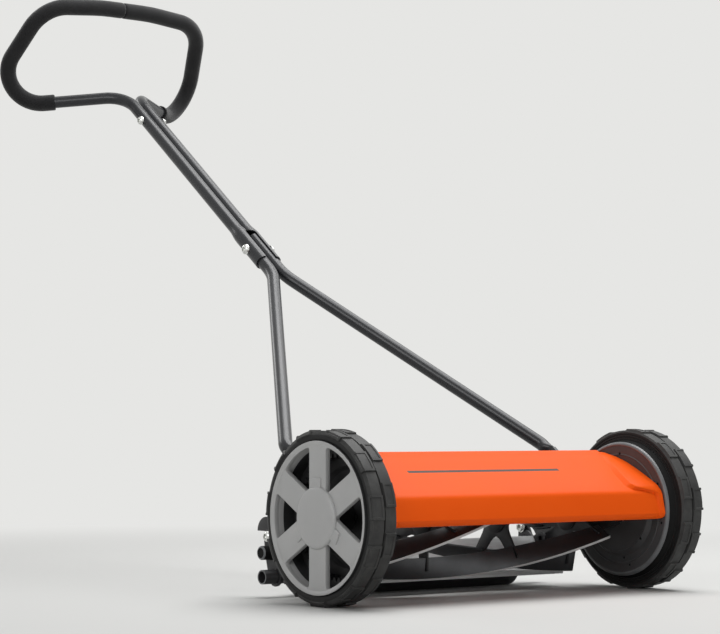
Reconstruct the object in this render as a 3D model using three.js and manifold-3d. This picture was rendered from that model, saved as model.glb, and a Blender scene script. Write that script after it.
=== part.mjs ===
// A push reel mower: two geared ground wheels drive a five-blade helical reel against a fixed bed knife.
// Millimetres. X runs along the axles, the mower faces -Y, the handle rises towards +Y and Z is up.
// While the pieces are made, y = 0 is the wheel axle and z = 0 the ground; the group is centred at the end.
import * as THREE from "three";
import { mergeVertices } from "three/addons/utils/BufferGeometryUtils.js";
import Module from "manifold-3d";

const wasm = await Module();
wasm.setup();

// Running and seating gaps, and the overrun of every cutting tool.
const seatGap = 0.3;
const cutOver = 2;
const weld = 0.0005;

// Reel. Its length and radius drive every plane across the mower and every place round the reel.
const reelRadius = 74.4;
const reelHalfLength = 200;
const bladeCount = 5;
const bladeTwist = THREE.MathUtils.degToRad(100.6);
const bladePhase = THREE.MathUtils.degToRad(200.5);
const bladeWidthShare = 0.37634;
const bladeWidth = reelRadius * bladeWidthShare;
const bladeThickness = 3;
const bladeLean = THREE.MathUtils.degToRad(10);
const bladeSteps = 18;
const reelShaftRadius = 8;
const journalRadius = 6;
const spiderPlaceShares = [-0.94, -0.3135, 0.3135, 0.94];
const spiderThickness = 3.2;
const spiderHubWall = 11;
const spiderHubRadius = reelShaftRadius + spiderHubWall;
const spiderArmRoot = 25;
const spiderArmTip = 13;
const spiderArmShort = 10.4;
const spiderArmReach = reelRadius - spiderArmShort;
const spiderWebWall = 12;
const spiderWebRadius = spiderHubRadius + spiderWebWall;
const clipRim = 3.5;
const clipRadius = journalRadius + clipRim;
const clipThickness = 1.4;
const clipGrooveDepth = 1;

// Planes of the side plates.
const bedBarOverhang = 6;
const bedBarPlay = 5.5;
const sidePlateThickness = 3.5;
const bedBarHalfLength = reelHalfLength + bedBarOverhang;
const sidePlateInner = bedBarHalfLength + bedBarPlay;
const sidePlateOuter = sidePlateInner + sidePlateThickness;

// Ground wheel.
const wheelRadius = 105;
const axleHeight = wheelRadius;
const tyreDepth = 13.9;
const tyreSeatRadius = wheelRadius - tyreDepth;
const tyreWidth = 36.8;
const discClearance = 6;
const discInnerFace = sidePlateOuter + discClearance;
const rimLap = 8.6;
const rimInnerFace = discInnerFace + rimLap;
const rimInnerOverhang = 8.4;
const tyreOuterFace = rimInnerFace + rimInnerOverhang + tyreWidth;
const rimProud = 2.6;
const wheelOuterFace = tyreOuterFace + rimProud;
const shoulderDrop = 4.2;
const shoulderWidth = 2.2;
const treadBlocks = 22;
const treadRecess = 2;
const treadGroove = 2.4;
const treadGrooveDepth = 2.6;
const treadRampShare = 0.14;
const rimWall = 7.3;
const rimBoreRadius = tyreSeatRadius - rimWall;
const rimEdgeWall = 2;
const rimEdgeRadius = rimBoreRadius + rimEdgeWall;
const rimStepLength = 6;
const rimChamfer = 1.2;
const spokeRecess = 1.9;
const spokeThickness = 7;
const spokeWidth = 32;
const spokeCount = 6;
const windowInset = 6.2;
const windowRadius = tyreSeatRadius - windowInset;
const windowCorner = 6;
const hubBossWall = 10;
const hubRibWidth = 16;
const hubRibLength = 9.7;
const hubRibHeight = 1.6;
const hubRibCount = 3;
const capRadius = 37;
const capHeight = 4;
const capPlugLength = 2.4;

// Wheel axle stub, carried by the side plate.
const axleRadius = 8;
const axleNeckRelief = 0.4;
const axleNeckRadius = axleRadius - axleNeckRelief;
const axleCollarRim = 12;
const axleCollarRadius = axleRadius + axleCollarRim;
const axleCollarLength = 5.4;
const axleHeadRim = 4;
const axleHeadRadius = axleRadius + axleHeadRim;
const axleHeadLength = 5.4;
const axleEndDepth = 10.4;
const axleEndFace = wheelOuterFace - axleEndDepth;
const retainerRim = 4.4;
const retainerRadius = axleRadius + retainerRim;
const retainerThickness = 1.6;
const screwShankRadius = 2.9;
const screwShankLength = 12;
const screwHeadRim = 2.6;
const screwHeadRadius = screwShankRadius + screwHeadRim;
const screwHeadLength = 2.4;
const counterboreRim = 0.8;
const counterboreRadius = retainerRadius + counterboreRim;
const capPlugPlay = 0.6;
const capPlugRadius = counterboreRadius - capPlugPlay;
const hubBossRadius = axleRadius + hubBossWall;
const bossSetback = 1.9;
const hubBossInnerFace = rimInnerFace + bossSetback;
const hubRibOuterRadius = capRadius + seatGap + hubRibLength;

// Gear drive: an internal ring gear in each wheel and a pinion on each end of the reel shaft.
// The ring's pitch circle sets the centre distance, and with it the place of the reel.
const ringTeeth = 54;
const pinionTeeth = 9;
const ringOuterRadius = rimBoreRadius - seatGap;
const ringWall = 10.76;
const ringPitchRadius = ringOuterRadius - ringWall;
const gearModule = (2 * ringPitchRadius) / ringTeeth;
const centreDistance = (gearModule * (ringTeeth - pinionTeeth)) / 2;
const meshAngle = THREE.MathUtils.degToRad(-9.4);
const reelRearward = centreDistance * Math.cos(meshAngle);
const reelHeight = axleHeight + centreDistance * Math.sin(meshAngle);
const pressureAngle = THREE.MathUtils.degToRad(20);
const gearBacklash = 0.36;
const pinionAddendumShare = 0.9;
const ringAddendumShare = 0.55;
const dedendumShare = 1.2;
const ringFace = 12;
const ringSetback = 4.4;
const ringInnerFace = rimInnerFace + ringSetback;
const pinionOverhang = 1;
const journalTail = 2.5;
const journalEnd = ringInnerFace + ringFace + pinionOverhang + journalTail;
const ratchetTeeth = 6;
const ratchetTipRim = 4.6;
const ratchetTipRadius = journalRadius + ratchetTipRim;
const ratchetToothDepth = 2.8;
const ratchetRootRadius = ratchetTipRadius + ratchetToothDepth;
const ratchetCupWall = 3;
const ratchetCupRadius = ratchetRootRadius + ratchetCupWall;
const ratchetCupLength = 7.6;
const ratchetDepthShare = 0.68;
const ratchetDepth = ratchetCupLength * ratchetDepthShare;
const pawlWidth = 3;
const pawlThickness = 4;
const pawlPlay = 0.6;
const pawlReach = ratchetTipRadius - pawlPlay;

// Handle: the shaft rises from the lower joint, s along it, v square to it in the Y-Z plane.
const tubeRadius = 9;
const tubeWall = 1;
const tubeGap = 0.3;
const tubeSpacing = tubeRadius + tubeGap;
const shaftSlope = THREE.MathUtils.degToRad(37.7);
const pivotRearward = 51.87;
const pivotRise = 72.69;
const pivotY = reelRearward + pivotRearward;
const pivotZ = reelHeight + pivotRise;
const pivotAlong = -487;
const upperBoltAlong = 349.6;
const lowerTopAlong = 30;
const lowerBendAlong = -62;
const lowerBendRadius = 70;
const lowerEndRun = 8;
const lowerEndBendRadius = 20;
const lugThickness = 5;
const lowerEndX = sidePlateOuter + seatGap + lugThickness / 2;
const lugHalfWidth = 12.5;
const lugLength = 27;
const lugTaperShare = 0.5185;
const lugTaper = lugLength * lugTaperShare;
const shellWall = 1.8;
const shellLow = -44;
const shellHigh = 32;
const shellTaper = 24;
const loopTurnAlong = 72;
const loopPlaneAlong = 169;
const loopWide = 190;
const loopDrop = 99.5;
const loopTopWide = 143;
const loopTopRise = 87;
const loopCrownRise = 97.7;
const loopCrownRun = 45;
const loopTurnRadius = 54;
const loopLowRadius = 49;
const loopHighRadius = 57;
const loopCrownRadius = 300;
const gripThickness = 4;
const gripRadius = tubeRadius + gripThickness;
const gripStart = 103;
const gripCrownGap = 0.5;
const handleBoltRadius = 3.2;
const handleBoltRim = 3.4;
const handleBoltHeadRadius = handleBoltRadius + handleBoltRim;
const handleBoltHeadLength = 5;
const pivotBoltRadius = 5;
const pivotBoltRim = 3.5;
const pivotBoltHeadRadius = pivotBoltRadius + pivotBoltRim;
const pivotBoltHeadLength = 5.5;
const stopPinRadius = 4;
const stopPinAlong = 8;

// Hood over the reel: its points stand off the reel's cylinder, each at its own angle.
const coverOverhang = 10;
const coverEnd = sidePlateOuter + coverOverhang;
const coverThickness = 1.8;
const coverCrestClear = 20.37;
const coverCrestAngle = THREE.MathUtils.degToRad(113.51);
const coverCreaseClear = 61.57;
const coverCreaseAngle = THREE.MathUtils.degToRad(165.78);
const coverFrontFall = 27;
const coverFrontRun = 8.5;
const coverLipRun = 4.5;
const coverLipFall = 6.9;
const coverHemRun = 6;
const coverHemFall = 0.8;
const coverRearRun = 39;
const coverRearFall = 2.5;
const coverRearHemRun = 5.5;
const coverRearHemFall = 3.5;
const coverCornerRound = 3;
const coverCrestY = reelRearward + (reelRadius + coverCrestClear) * Math.cos(coverCrestAngle);
const coverCrestZ = reelHeight + (reelRadius + coverCrestClear) * Math.sin(coverCrestAngle);
const coverCreaseY = reelRearward + (reelRadius + coverCreaseClear) * Math.cos(coverCreaseAngle);
const coverCreaseZ = reelHeight + (reelRadius + coverCreaseClear) * Math.sin(coverCreaseAngle);
const coverFootY = coverCreaseY - coverFrontRun;
const coverFootZ = coverCreaseZ - coverFrontFall;
const coverLipY = coverFootY + coverLipRun;
const coverLipZ = coverFootZ - coverLipFall;
const coverHemY = coverLipY + coverHemRun;
const coverHemZ = coverLipZ - coverHemFall;
const coverRearY = coverCrestY + coverRearRun;
const coverRearZ = coverCrestZ - coverRearFall;
const coverRearHemY = coverRearY + coverRearHemRun;
const coverRearHemZ = coverRearZ - coverRearHemFall;
const rimRise = 14.4;
const rimForward = 6.5;
const facetTopInset = 19;
const facetMidInset = 41;
const facetFrontInset = 9.5;
const coverWebThickness = 2;
const coverWebShare = 0.56;
const coverScrewRadius = 3;
const coverScrewRim = 3.2;
const coverScrewHead = coverScrewRadius + coverScrewRim;
const coverScrewHeadLength = 2.8;
const coverEarForward = 14;
const coverEarDrop = 32;
const coverEarRearward = coverCrestY - coverEarForward;
const coverEarHeight = coverCrestZ - coverEarDrop;

// Bed bar and bed knife, placed round the reel like the hood.
const knifeAngle = THREE.MathUtils.degToRad(-72);
const knifeGap = 0.3;
const knifeOverhang = 2;
const knifeHalfLength = reelHalfLength + knifeOverhang;
const knifeDepth = 24;
const knifeThickness = 4;
const knifeSlope = THREE.MathUtils.degToRad(4);
const bedBarThickness = 3;
const bedShelfBackset = 3;
const bedKneeClear = 12.04;
const bedKneeAngle = THREE.MathUtils.degToRad(-37.9);
const bedTopClear = 12.06;
const bedTopAngle = THREE.MathUtils.degToRad(-20.09);
const bedPivotClear = 0.51;
const bedPivotAngle = THREE.MathUtils.degToRad(-26.22);
const bedTabThickness = 3.5;
const bedTabRadius = 10;
const bedPivotRadius = 4;
const bedBoltRim = 3;
const bedBoltHeadRadius = bedPivotRadius + bedBoltRim;
const bedBoltHeadLength = 4;

// Rear roller on two swinging arms.
const rollerRadius = 26;
const rollerShortfall = 28;
const rollerHalfLength = reelHalfLength - rollerShortfall;
const rollerWall = 3.2;
const rollerEndThickness = 6;
const rollerTubeRadius = 9;
const rollerTubeWall = 1.8;
const rollerTubeBore = rollerTubeRadius - rollerTubeWall;
const sleeveBackset = 108.2;
const sleeveRise = 29.5;
const sleeveRearward = reelRearward + sleeveBackset;
const sleeveHeight = rollerRadius + sleeveRise;
const rollerBackset = 8;
const rollerRearward = sleeveRearward - rollerBackset;
const sleeveRadius = 8.8;
const armInner = sidePlateOuter + seatGap;
const armThickness = 4;
const sleeveOverhang = 15.7;
const sleeveEnd = armInner + armThickness + sleeveOverhang;
const sleeveInreach = 6.5;
const sleeveInner = sidePlateInner - sleeveInreach;
const rollerTubeOverhang = 4;
const rollerTubeEnd = sleeveEnd + rollerTubeOverhang;
const armSleeveWall = 3.7;
const armSleeveBoss = sleeveRadius + armSleeveWall;
const armRollerWall = 3.5;
const armRollerBoss = rollerTubeRadius + armRollerWall;
const clampRadius = 4;
const armClampWall = 5;
const armClampBoss = clampRadius + armClampWall;
const clampRise = 20.9;
const clampAngle = THREE.MathUtils.degToRad(73);
const clampTravel = THREE.MathUtils.degToRad(80);
const clampRim = 3;
const clampHeadRadius = clampRadius + clampRim;
const clampHeadLength = 4.4;

// Side plates' outline and what they hold together.
const plateAxleWall = 14;
const plateAxleBoss = axleRadius + plateAxleWall;
const plateReelWall = 19;
const bearingWall = 5;
const bearingRadius = journalRadius + bearingWall;
const plateReelBoss = bearingRadius + plateReelWall;
const plateHandleWall = 8.5;
const plateHandleBoss = pivotBoltRadius + plateHandleWall;
const plateSleeveBoss = armSleeveBoss;
const tieRodRadius = 6;
const tieRodNeckRelief = 1.5;
const tieRodNeckRadius = tieRodRadius - tieRodNeckRelief;
const plateEarWall = 4;
const plateEarRadius = tieRodRadius + plateEarWall;
const plateTipRadius = 9.5;
const plateTipBack = 2.5;
const plateTipRise = 35.5;
const plateTipRearward = sleeveRearward + plateTipBack;
const plateTipHeight = sleeveHeight + plateTipRise;
const plateCutRadius = 13;
const plateCutBack = 52.2;
const plateCutRise = 16.9;
const plateCutRearward = reelRearward + plateCutBack;
const plateCutHeight = reelHeight + plateCutRise;
const plateCutSpread = 20;
const bearingFlangeRim = 4;
const bearingFlangeRadius = bearingRadius + bearingFlangeRim;
const bearingFlangeLength = 3;
const bearingNoseTaper = 1;
const bearingInreach = 7.5;
const bearingInnerFace = sidePlateInner - bearingInreach;
const bearingStandOut = 5.4;
const bearingOuterFace = sidePlateOuter + bearingStandOut;
const tieRodBack = 32;
const tieRodDrop = 7.5;
const tieRodRearward = coverCreaseY + tieRodBack;
const tieRodHeight = coverCreaseZ - tieRodDrop;
const tieNutRim = 2;
const tieNutRadius = tieRodRadius + tieNutRim;
const tieNutLength = 2.8;

// Dished dust disc that closes the wheel over the gears.
const discPlay = 0.8;
const discRadius = rimBoreRadius - discPlay;
const discThickness = 2;
const discDishDepth = 5;
const discDishShare = 0.6928;
const discDishRadius = discRadius * discDishShare;
const discDishRun = 4;
const discShaftPlay = 2.2;
const discShaftHole = ratchetCupRadius + discShaftPlay;
const discHoleRadius = 1.8;
// Each small hole: its radius as a share of the disc's, and its angle in degrees from +Y towards +Z.
const discHoleShares = [
  [0.87, 91],
  [0.935, 154],
  [0.935, 192],
  [0.68, 221],
  [0.77, 263],
  [0.9, 256],
];

// Facet counts.
const wheelSides = 32;
const capSides = 24;
const discSides = 28;
const roundSides = 16;
const smallSides = 10;
const tubeSides = 10;
const boreSides = 8;
const gripBoreSides = 6;
const slotSteps = 6;
const windowSegments = 3;
const bendStep = THREE.MathUtils.degToRad(24);

const X = new THREE.Vector3(1, 0, 0);
const Y = new THREE.Vector3(0, 1, 0);
const Z = new THREE.Vector3(0, 0, 1);
const plateFrame = new THREE.Matrix4().makeBasis(Y, Z, X);
const turnedFrame = new THREE.Matrix4().makeBasis(Z, X, Y);

// A closed geometry as a solid for joining and cutting, turned outwards if it was made inside out.
function solid(geometry) {
  const bare = geometry.clone();
  bare.deleteAttribute("normal");
  bare.deleteAttribute("uv");
  const merged = mergeVertices(bare, weld);
  const triVerts = new Uint32Array(merged.index.array);
  const vertProperties = merged.attributes.position.array;
  const made = new wasm.Manifold(new wasm.Mesh({ numProp: 3, vertProperties, triVerts }));
  if (made.volume() > 0) return made;
  for (let i = 0; i < triVerts.length; i += 3) {
    [triVerts[i + 1], triVerts[i + 2]] = [triVerts[i + 2], triVerts[i + 1]];
  }
  return new wasm.Manifold(new wasm.Mesh({ numProp: 3, vertProperties, triVerts }));
}

const join = (first, ...rest) => rest.reduce((a, b) => a.add(b), first);
const cut = (first, ...rest) => rest.reduce((a, b) => a.subtract(b), first);

function geometryOf(made) {
  const mesh = made.getMesh();
  return new THREE.BufferGeometry()
    .setAttribute("position", new THREE.BufferAttribute(mesh.vertProperties, mesh.numProp))
    .setIndex(new THREE.BufferAttribute(mesh.triVerts, 1));
}

// A flat plate: an outline in Y and Z, extruded along X.
function plate(outline, from, to) {
  const shape = outline.isShape ? outline : new THREE.Shape(outline);
  const options = { depth: to - from, bevelEnabled: false, curveSegments: smallSides };
  const geometry = new THREE.ExtrudeGeometry(shape, options).translate(0, 0, from);
  return solid(geometry.applyMatrix4(plateFrame));
}

// A turned piece about an axis along X: its profile holds [x, radius] pairs.
function turned(profile, y, z, sides = smallSides) {
  const points = profile.map(([x, r]) => new THREE.Vector2(r, x));
  const geometry = new THREE.LatheGeometry(points, sides);
  return solid(geometry.applyMatrix4(turnedFrame).translate(0, y, z));
}

function rod(radius, from, to, y, z, sides) {
  return turned([[from, 0], [from, radius], [to, radius], [to, 0]], y, z, sides);
}

// A polygon that a round piece of the same radius just fits into.
const around = (radius, sides) => radius / Math.cos(Math.PI / sides);

// The tool for a hole that a round piece passes through with the seating gap.
function drill(radius, from, to, y, z, sides = smallSides) {
  return rod(around(radius + seatGap, sides), from, to, y, z, sides);
}

function pipe(radius, bore, from, to, y, z, sides) {
  const wall = [[from, bore], [from, radius], [to, radius], [to, bore], [from, bore]];
  return turned(wall, y, z, sides);
}

// A bolt along X with a hexagonal head: the shank runs from the far end to the head's face.
function bolt(shank, head, headLength, far, face, y, z) {
  const sign = Math.sign(face - far);
  const shankRod = rod(shank, Math.min(far, face), Math.max(far, face), y, z, smallSides);
  const top = face + sign * headLength;
  return join(shankRod, rod(head, Math.min(face, top), Math.max(face, top), y, z, 6));
}

// Closed rings of equal count, joined one to the next, and capped rung by rung unless they close up.
function loft(rings, closed = false) {
  const count = rings[0].length;
  const positions = rings.flat().flatMap((p) => [p.x, p.y, p.z]);
  const index = [];
  const spans = closed ? rings.length : rings.length - 1;
  for (let i = 0; i < spans; i++) {
    const a = i * count;
    const b = ((i + 1) % rings.length) * count;
    for (let j = 0; j < count; j++) {
      const k = (j + 1) % count;
      index.push(a + j, a + k, b + k, a + j, b + k, b + j);
    }
  }
  if (!closed) {
    const last = (rings.length - 1) * count;
    for (let j = 0; j < count / 2 - 1; j++) {
      const [p, q, r, s] = [j, j + 1, count - 2 - j, count - 1 - j];
      index.push(p, r, q, p, s, r);
      index.push(last + p, last + q, last + r, last + p, last + r, last + s);
    }
  }
  const geometry = new THREE.BufferGeometry();
  geometry.setAttribute("position", new THREE.Float32BufferAttribute(positions, 3));
  geometry.setIndex(index);
  return solid(geometry);
}

// The convex outline round a set of circles, each [y, z, radius].
function hullOfCircles(circles) {
  const points = [];
  for (const [y, z, r] of circles) {
    const sides = r > plateHandleBoss ? wheelSides : roundSides;
    for (let i = 0; i < sides; i++) {
      const a = (i / sides) * Math.PI * 2;
      points.push(new THREE.Vector2(y + r * Math.cos(a), z + r * Math.sin(a)));
    }
  }
  points.sort((p, q) => p.x - q.x || p.y - q.y);
  const chain = (list) => {
    const out = [];
    for (const p of list) {
      while (out.length > 1) {
        const [a, b] = [out[out.length - 2], out[out.length - 1]];
        const area = (b.x - a.x) * (p.y - a.y) - (b.y - a.y) * (p.x - a.x);
        if (area > weld * a.distanceTo(p)) break;
        out.pop();
      }
      out.push(p);
    }
    return out.slice(0, -1);
  };
  return [...chain(points), ...chain(points.slice().reverse())];
}

const polar = (r, a, y = 0, z = 0) => new THREE.Vector2(y + r * Math.cos(a), z + r * Math.sin(a));

// A centre line of straight runs joined by arcs, with stations only where it bends.
class BentLine extends THREE.Curve {
  constructor(corners, radii) {
    super();
    this.stations = [corners[0]];
    for (let i = 1; i < corners.length - 1; i++) {
      const before = corners[i - 1].clone().sub(corners[i]).normalize();
      const after = corners[i + 1].clone().sub(corners[i]).normalize();
      const half = before.angleTo(after) / 2;
      const radius = radii[i - 1];
      const run = radius / Math.tan(half);
      const start = corners[i].clone().addScaledVector(before, run);
      const end = corners[i].clone().addScaledVector(after, run);
      const middle = before.clone().add(after).normalize();
      const centre = corners[i].clone().addScaledVector(middle, radius / Math.sin(half));
      const axis = new THREE.Vector3().crossVectors(after, before).normalize();
      const sweep = Math.PI - 2 * half;
      const steps = Math.ceil(sweep / bendStep);
      const arm = start.clone().sub(centre);
      for (let j = 0; j <= steps; j++) {
        const turn = (sweep * j) / steps;
        this.stations.push(arm.clone().applyAxisAngle(axis, turn).add(centre));
      }
      this.stations[this.stations.length - 1].copy(end);
    }
    this.stations.push(corners[corners.length - 1]);
  }
  get spans() {
    return this.stations.length - 1;
  }
  getPoint(t) {
    const at = THREE.MathUtils.clamp(t, 0, 1) * this.spans;
    const i = Math.min(Math.floor(at), this.spans - 1);
    return this.stations[i].clone().lerp(this.stations[i + 1], at - i);
  }
  getPointAt(t) {
    return this.getPoint(t);
  }
  getSpacedPoints() {
    return this.stations.map((p) => p.clone());
  }
  getTangentAt(t) {
    const i = Math.round(t * this.spans);
    const before = this.stations[Math.max(i - 1, 0)];
    const after = this.stations[Math.min(i + 1, this.spans)];
    const here = this.stations[i];
    const into = here.clone().sub(i > 0 ? before : here).normalize();
    const out = after.clone().sub(i < this.spans ? here : before).normalize();
    return i > 0 && i < this.spans ? into.add(out).normalize() : out.add(into).normalize();
  }
  // The same line from its first station beyond a distance along it.
  from(distance) {
    const rest = [];
    let gone = 0;
    for (let i = 0; i < this.spans; i++) {
      const [a, b] = [this.stations[i], this.stations[i + 1]];
      const next = gone + a.distanceTo(b);
      if (gone < distance && distance < next) {
        rest.push(a.clone().lerp(b, (distance - gone) / (next - gone)));
      }
      if (next > distance) rest.push(b);
      gone = next;
    }
    return Object.assign(Object.create(BentLine.prototype), this, { stations: rest });
  }
}

// A round bar bent along a line.
function bentRod(line, radius, sides = tubeSides) {
  const section = new THREE.Shape();
  section.setFromPoints(
    Array.from({ length: sides }, (_, i) => polar(radius, ((i + 0.5) / sides) * Math.PI * 2)),
  );
  const options = { steps: line.spans, extrudePath: line, bevelEnabled: false };
  return solid(new THREE.ExtrudeGeometry(section, options));
}

const palette = {
  orange: { color: 0xf2641c, roughness: 0.38, metalness: 0 },
  graphite: { color: 0x3b3c3e, roughness: 0.35, metalness: 0.6 },
  blackSteel: { color: 0x2b2b2c, roughness: 0.5, metalness: 0.5 },
  rubber: { color: 0x2a2a2a, roughness: 0.85, metalness: 0 },
  foam: { color: 0x2d2d2d, roughness: 0.95, metalness: 0 },
  hubGrey: { color: 0x969696, roughness: 0.5, metalness: 0.1 },
  blackPlastic: { color: 0x1d1d1e, roughness: 0.6, metalness: 0 },
  zinc: { color: 0xc8c8c4, roughness: 0.3, metalness: 0.9 },
  bladeSteel: { color: 0x56585a, roughness: 0.4, metalness: 0.8 },
  bareSteel: { color: 0xb4b4b2, roughness: 0.35, metalness: 0.9 },
};

function piece(name, made, finish) {
  const mesh = new THREE.Mesh(geometryOf(made), new THREE.MeshStandardMaterial(palette[finish]));
  mesh.name = name;
  return mesh;
}

// Wheel: rim barrel and spoke disc in one moulding, with a window between each two spokes.
function spokeDisc() {
  const edge = (i) => polar(windowRadius + cutOver, (i / wheelSides) * Math.PI * 2);
  const disc = new THREE.Shape(Array.from({ length: wheelSides }, (_, i) => edge(i)));
  const halfPitch = Math.PI / spokeCount;
  const apex = spokeWidth / 2 / Math.sin(halfPitch);
  const spread = halfPitch - Math.asin(spokeWidth / 2 / windowRadius);
  const cornerShare = windowCorner / windowRadius;
  for (let i = 0; i < spokeCount; i++) {
    const middle = i * 2 * halfPitch;
    const corner = [polar(windowRadius, middle - spread), polar(windowRadius, middle + spread)];
    const point = polar(apex, middle);
    const towards = (a, b) => a.clone().add(b.clone().sub(a).setLength(windowCorner));
    const window = new THREE.Path();
    const start = polar(windowRadius, middle - spread + cornerShare);
    window.moveTo(start.x, start.y);
    window.absarc(0, 0, windowRadius, middle - spread + cornerShare, middle + spread - cornerShare);
    for (const [vertex, next] of [[corner[1], point], [point, corner[0]], [corner[0], start]]) {
      const out = vertex === corner[0] ? start : towards(vertex, next);
      window.quadraticCurveTo(vertex.x, vertex.y, out.x, out.y);
      if (vertex === corner[0]) break;
      const into = towards(next, vertex);
      window.lineTo(into.x, into.y);
    }
    disc.holes.push(window);
  }
  const face = wheelOuterFace - spokeRecess;
  const options = { depth: spokeThickness, bevelEnabled: false, curveSegments: windowSegments };
  const geometry = new THREE.ExtrudeGeometry(disc, options).translate(0, 0, face - spokeThickness);
  return solid(geometry.applyMatrix4(plateFrame));
}

function hub() {
  const tyreInner = tyreOuterFace - tyreWidth;
  const face = wheelOuterFace - spokeRecess;
  const barrel = turned(
    [
      [rimInnerFace, rimBoreRadius],
      [rimInnerFace, rimEdgeRadius],
      [tyreInner - seatGap, tyreSeatRadius - rimChamfer],
      [tyreInner - seatGap, tyreSeatRadius],
      [wheelOuterFace - rimChamfer, tyreSeatRadius],
      [wheelOuterFace, tyreSeatRadius - rimChamfer],
      [wheelOuterFace, windowRadius],
      [face - spokeThickness, windowRadius],
      [face - spokeThickness - rimStepLength, rimBoreRadius],
      [rimInnerFace, rimBoreRadius],
    ],
    0,
    0,
    wheelSides,
  );
  const boss = rod(hubBossRadius, hubBossInnerFace, face, 0, 0, roundSides);
  const rib = plate(
    [
      new THREE.Vector2(-hubRibWidth / 2, capRadius + seatGap),
      new THREE.Vector2(hubRibWidth / 2, capRadius + seatGap),
      new THREE.Vector2(hubRibWidth / 2, hubRibOuterRadius),
      new THREE.Vector2(-hubRibWidth / 2, hubRibOuterRadius),
    ],
    face - cutOver,
    face + hubRibHeight,
  );
  const ribs = Array.from({ length: hubRibCount }, (_, i) => rib.rotate([(i / hubRibCount) * 360, 0, 0]));
  return cut(
    join(barrel, spokeDisc(), boss, ...ribs),
    drill(axleRadius, hubBossInnerFace - cutOver, face + cutOver, 0, 0, roundSides),
    rod(counterboreRadius, axleEndFace - seatGap, face + cutOver, 0, 0, roundSides),
  );
}

// Tyre: two staggered rows of blocks, every second block cut lower, with a groove between the rows.
function tyre() {
  const outer = tyreOuterFace;
  const inner = tyreOuterFace - tyreWidth;
  const middle = (outer + inner) / 2;
  const seat = tyreSeatRadius + seatGap;
  const pitch = (Math.PI * 2) / treadBlocks;
  const ramp = pitch * treadRampShare;
  const height = (angle, shift) => {
    const block = Math.floor(angle / pitch + shift);
    return block % 2 === 0 ? wheelRadius : wheelRadius - treadRecess;
  };
  const rings = [];
  for (let i = 0; i < treadBlocks * 2; i++) {
    for (const side of [-1, 1]) {
      const edge = (i * pitch) / 2;
      const angle = edge + (side * ramp) / 2 + pitch / 4;
      const row = (shift) => height(edge + side * ramp + pitch * treadBlocks, shift);
      const [near, far] = [row(0), row(0.5)];
      const groove = wheelRadius - treadRecess - treadGrooveDepth;
      const section = [
        [outer, seat],
        [outer, near - shoulderDrop],
        [outer - shoulderWidth, near],
        [middle + treadGroove / 2, near],
        [middle, groove],
        [middle - treadGroove / 2, far],
        [inner, far - shoulderDrop / 2],
        [inner, seat],
      ];
      rings.push(section.map(([x, r]) => new THREE.Vector3(x, r * Math.cos(angle), r * Math.sin(angle))));
    }
  }
  return loft(rings, true);
}

function hubCap() {
  const face = wheelOuterFace - spokeRecess + seatGap;
  return turned(
    [
      [face - capPlugLength, 0],
      [face - capPlugLength, capPlugRadius],
      [face, capPlugRadius],
      [face, capRadius],
      [face + capHeight * 0.45, capRadius - capHeight * 0.3],
      [face + capHeight * 0.85, capRadius * 0.86],
      [face + capHeight, capRadius * 0.66],
      [face + capHeight, 0],
    ],
    0,
    0,
    capSides,
  );
}

function retainer() {
  const start = axleEndFace + seatGap;
  return turned(
    [
      [start - screwShankLength, 0],
      [start - screwShankLength, screwShankRadius],
      [start, screwShankRadius],
      [start, retainerRadius],
      [start + retainerThickness, retainerRadius],
      [start + retainerThickness, screwHeadRadius],
      [start + retainerThickness + screwHeadLength, screwHeadRadius],
      [start + retainerThickness + screwHeadLength, 0],
    ],
    0,
    axleHeight,
  );
}

// Gears: both profiles are involutes of one module.
function involuteOutline(teeth, tip, root, thickening, phase, middle = true) {
  const pitch = (gearModule * teeth) / 2;
  const base = pitch * Math.cos(pressureAngle);
  const involute = (a) => Math.tan(a) - a;
  const halfAt = (r) => {
    const a = Math.acos(Math.min(1, base / Math.max(r, base)));
    const half = Math.PI / (2 * teeth) + thickening / (2 * pitch);
    return half + involute(pressureAngle) - involute(a);
  };
  const start = Math.max(root, base);
  const points = [];
  for (let i = 0; i < teeth; i++) {
    const at = phase + (i / teeth) * Math.PI * 2;
    const flank = [start, tip];
    if (middle) flank.splice(1, 0, (start + tip) / 2);
    if (root < start) flank.unshift(root);
    for (const r of flank) points.push(polar(r, at - halfAt(r)));
    for (const r of flank.slice().reverse()) points.push(polar(r, at + halfAt(r)));
  }
  return points;
}

// A pinion tooth points outwards at the mesh, into a ring space that opens the same way.
function ringGear() {
  const pitch = ringPitchRadius;
  const spaces = involuteOutline(
    ringTeeth,
    pitch + dedendumShare * gearModule,
    pitch - ringAddendumShare * gearModule,
    gearBacklash,
    meshAngle,
    false,
  );
  const ring = rod(ringOuterRadius, ringInnerFace, ringInnerFace + ringFace, 0, 0, wheelSides);
  return cut(ring, plate(spaces, ringInnerFace - cutOver, ringInnerFace + ringFace + cutOver));
}

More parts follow.
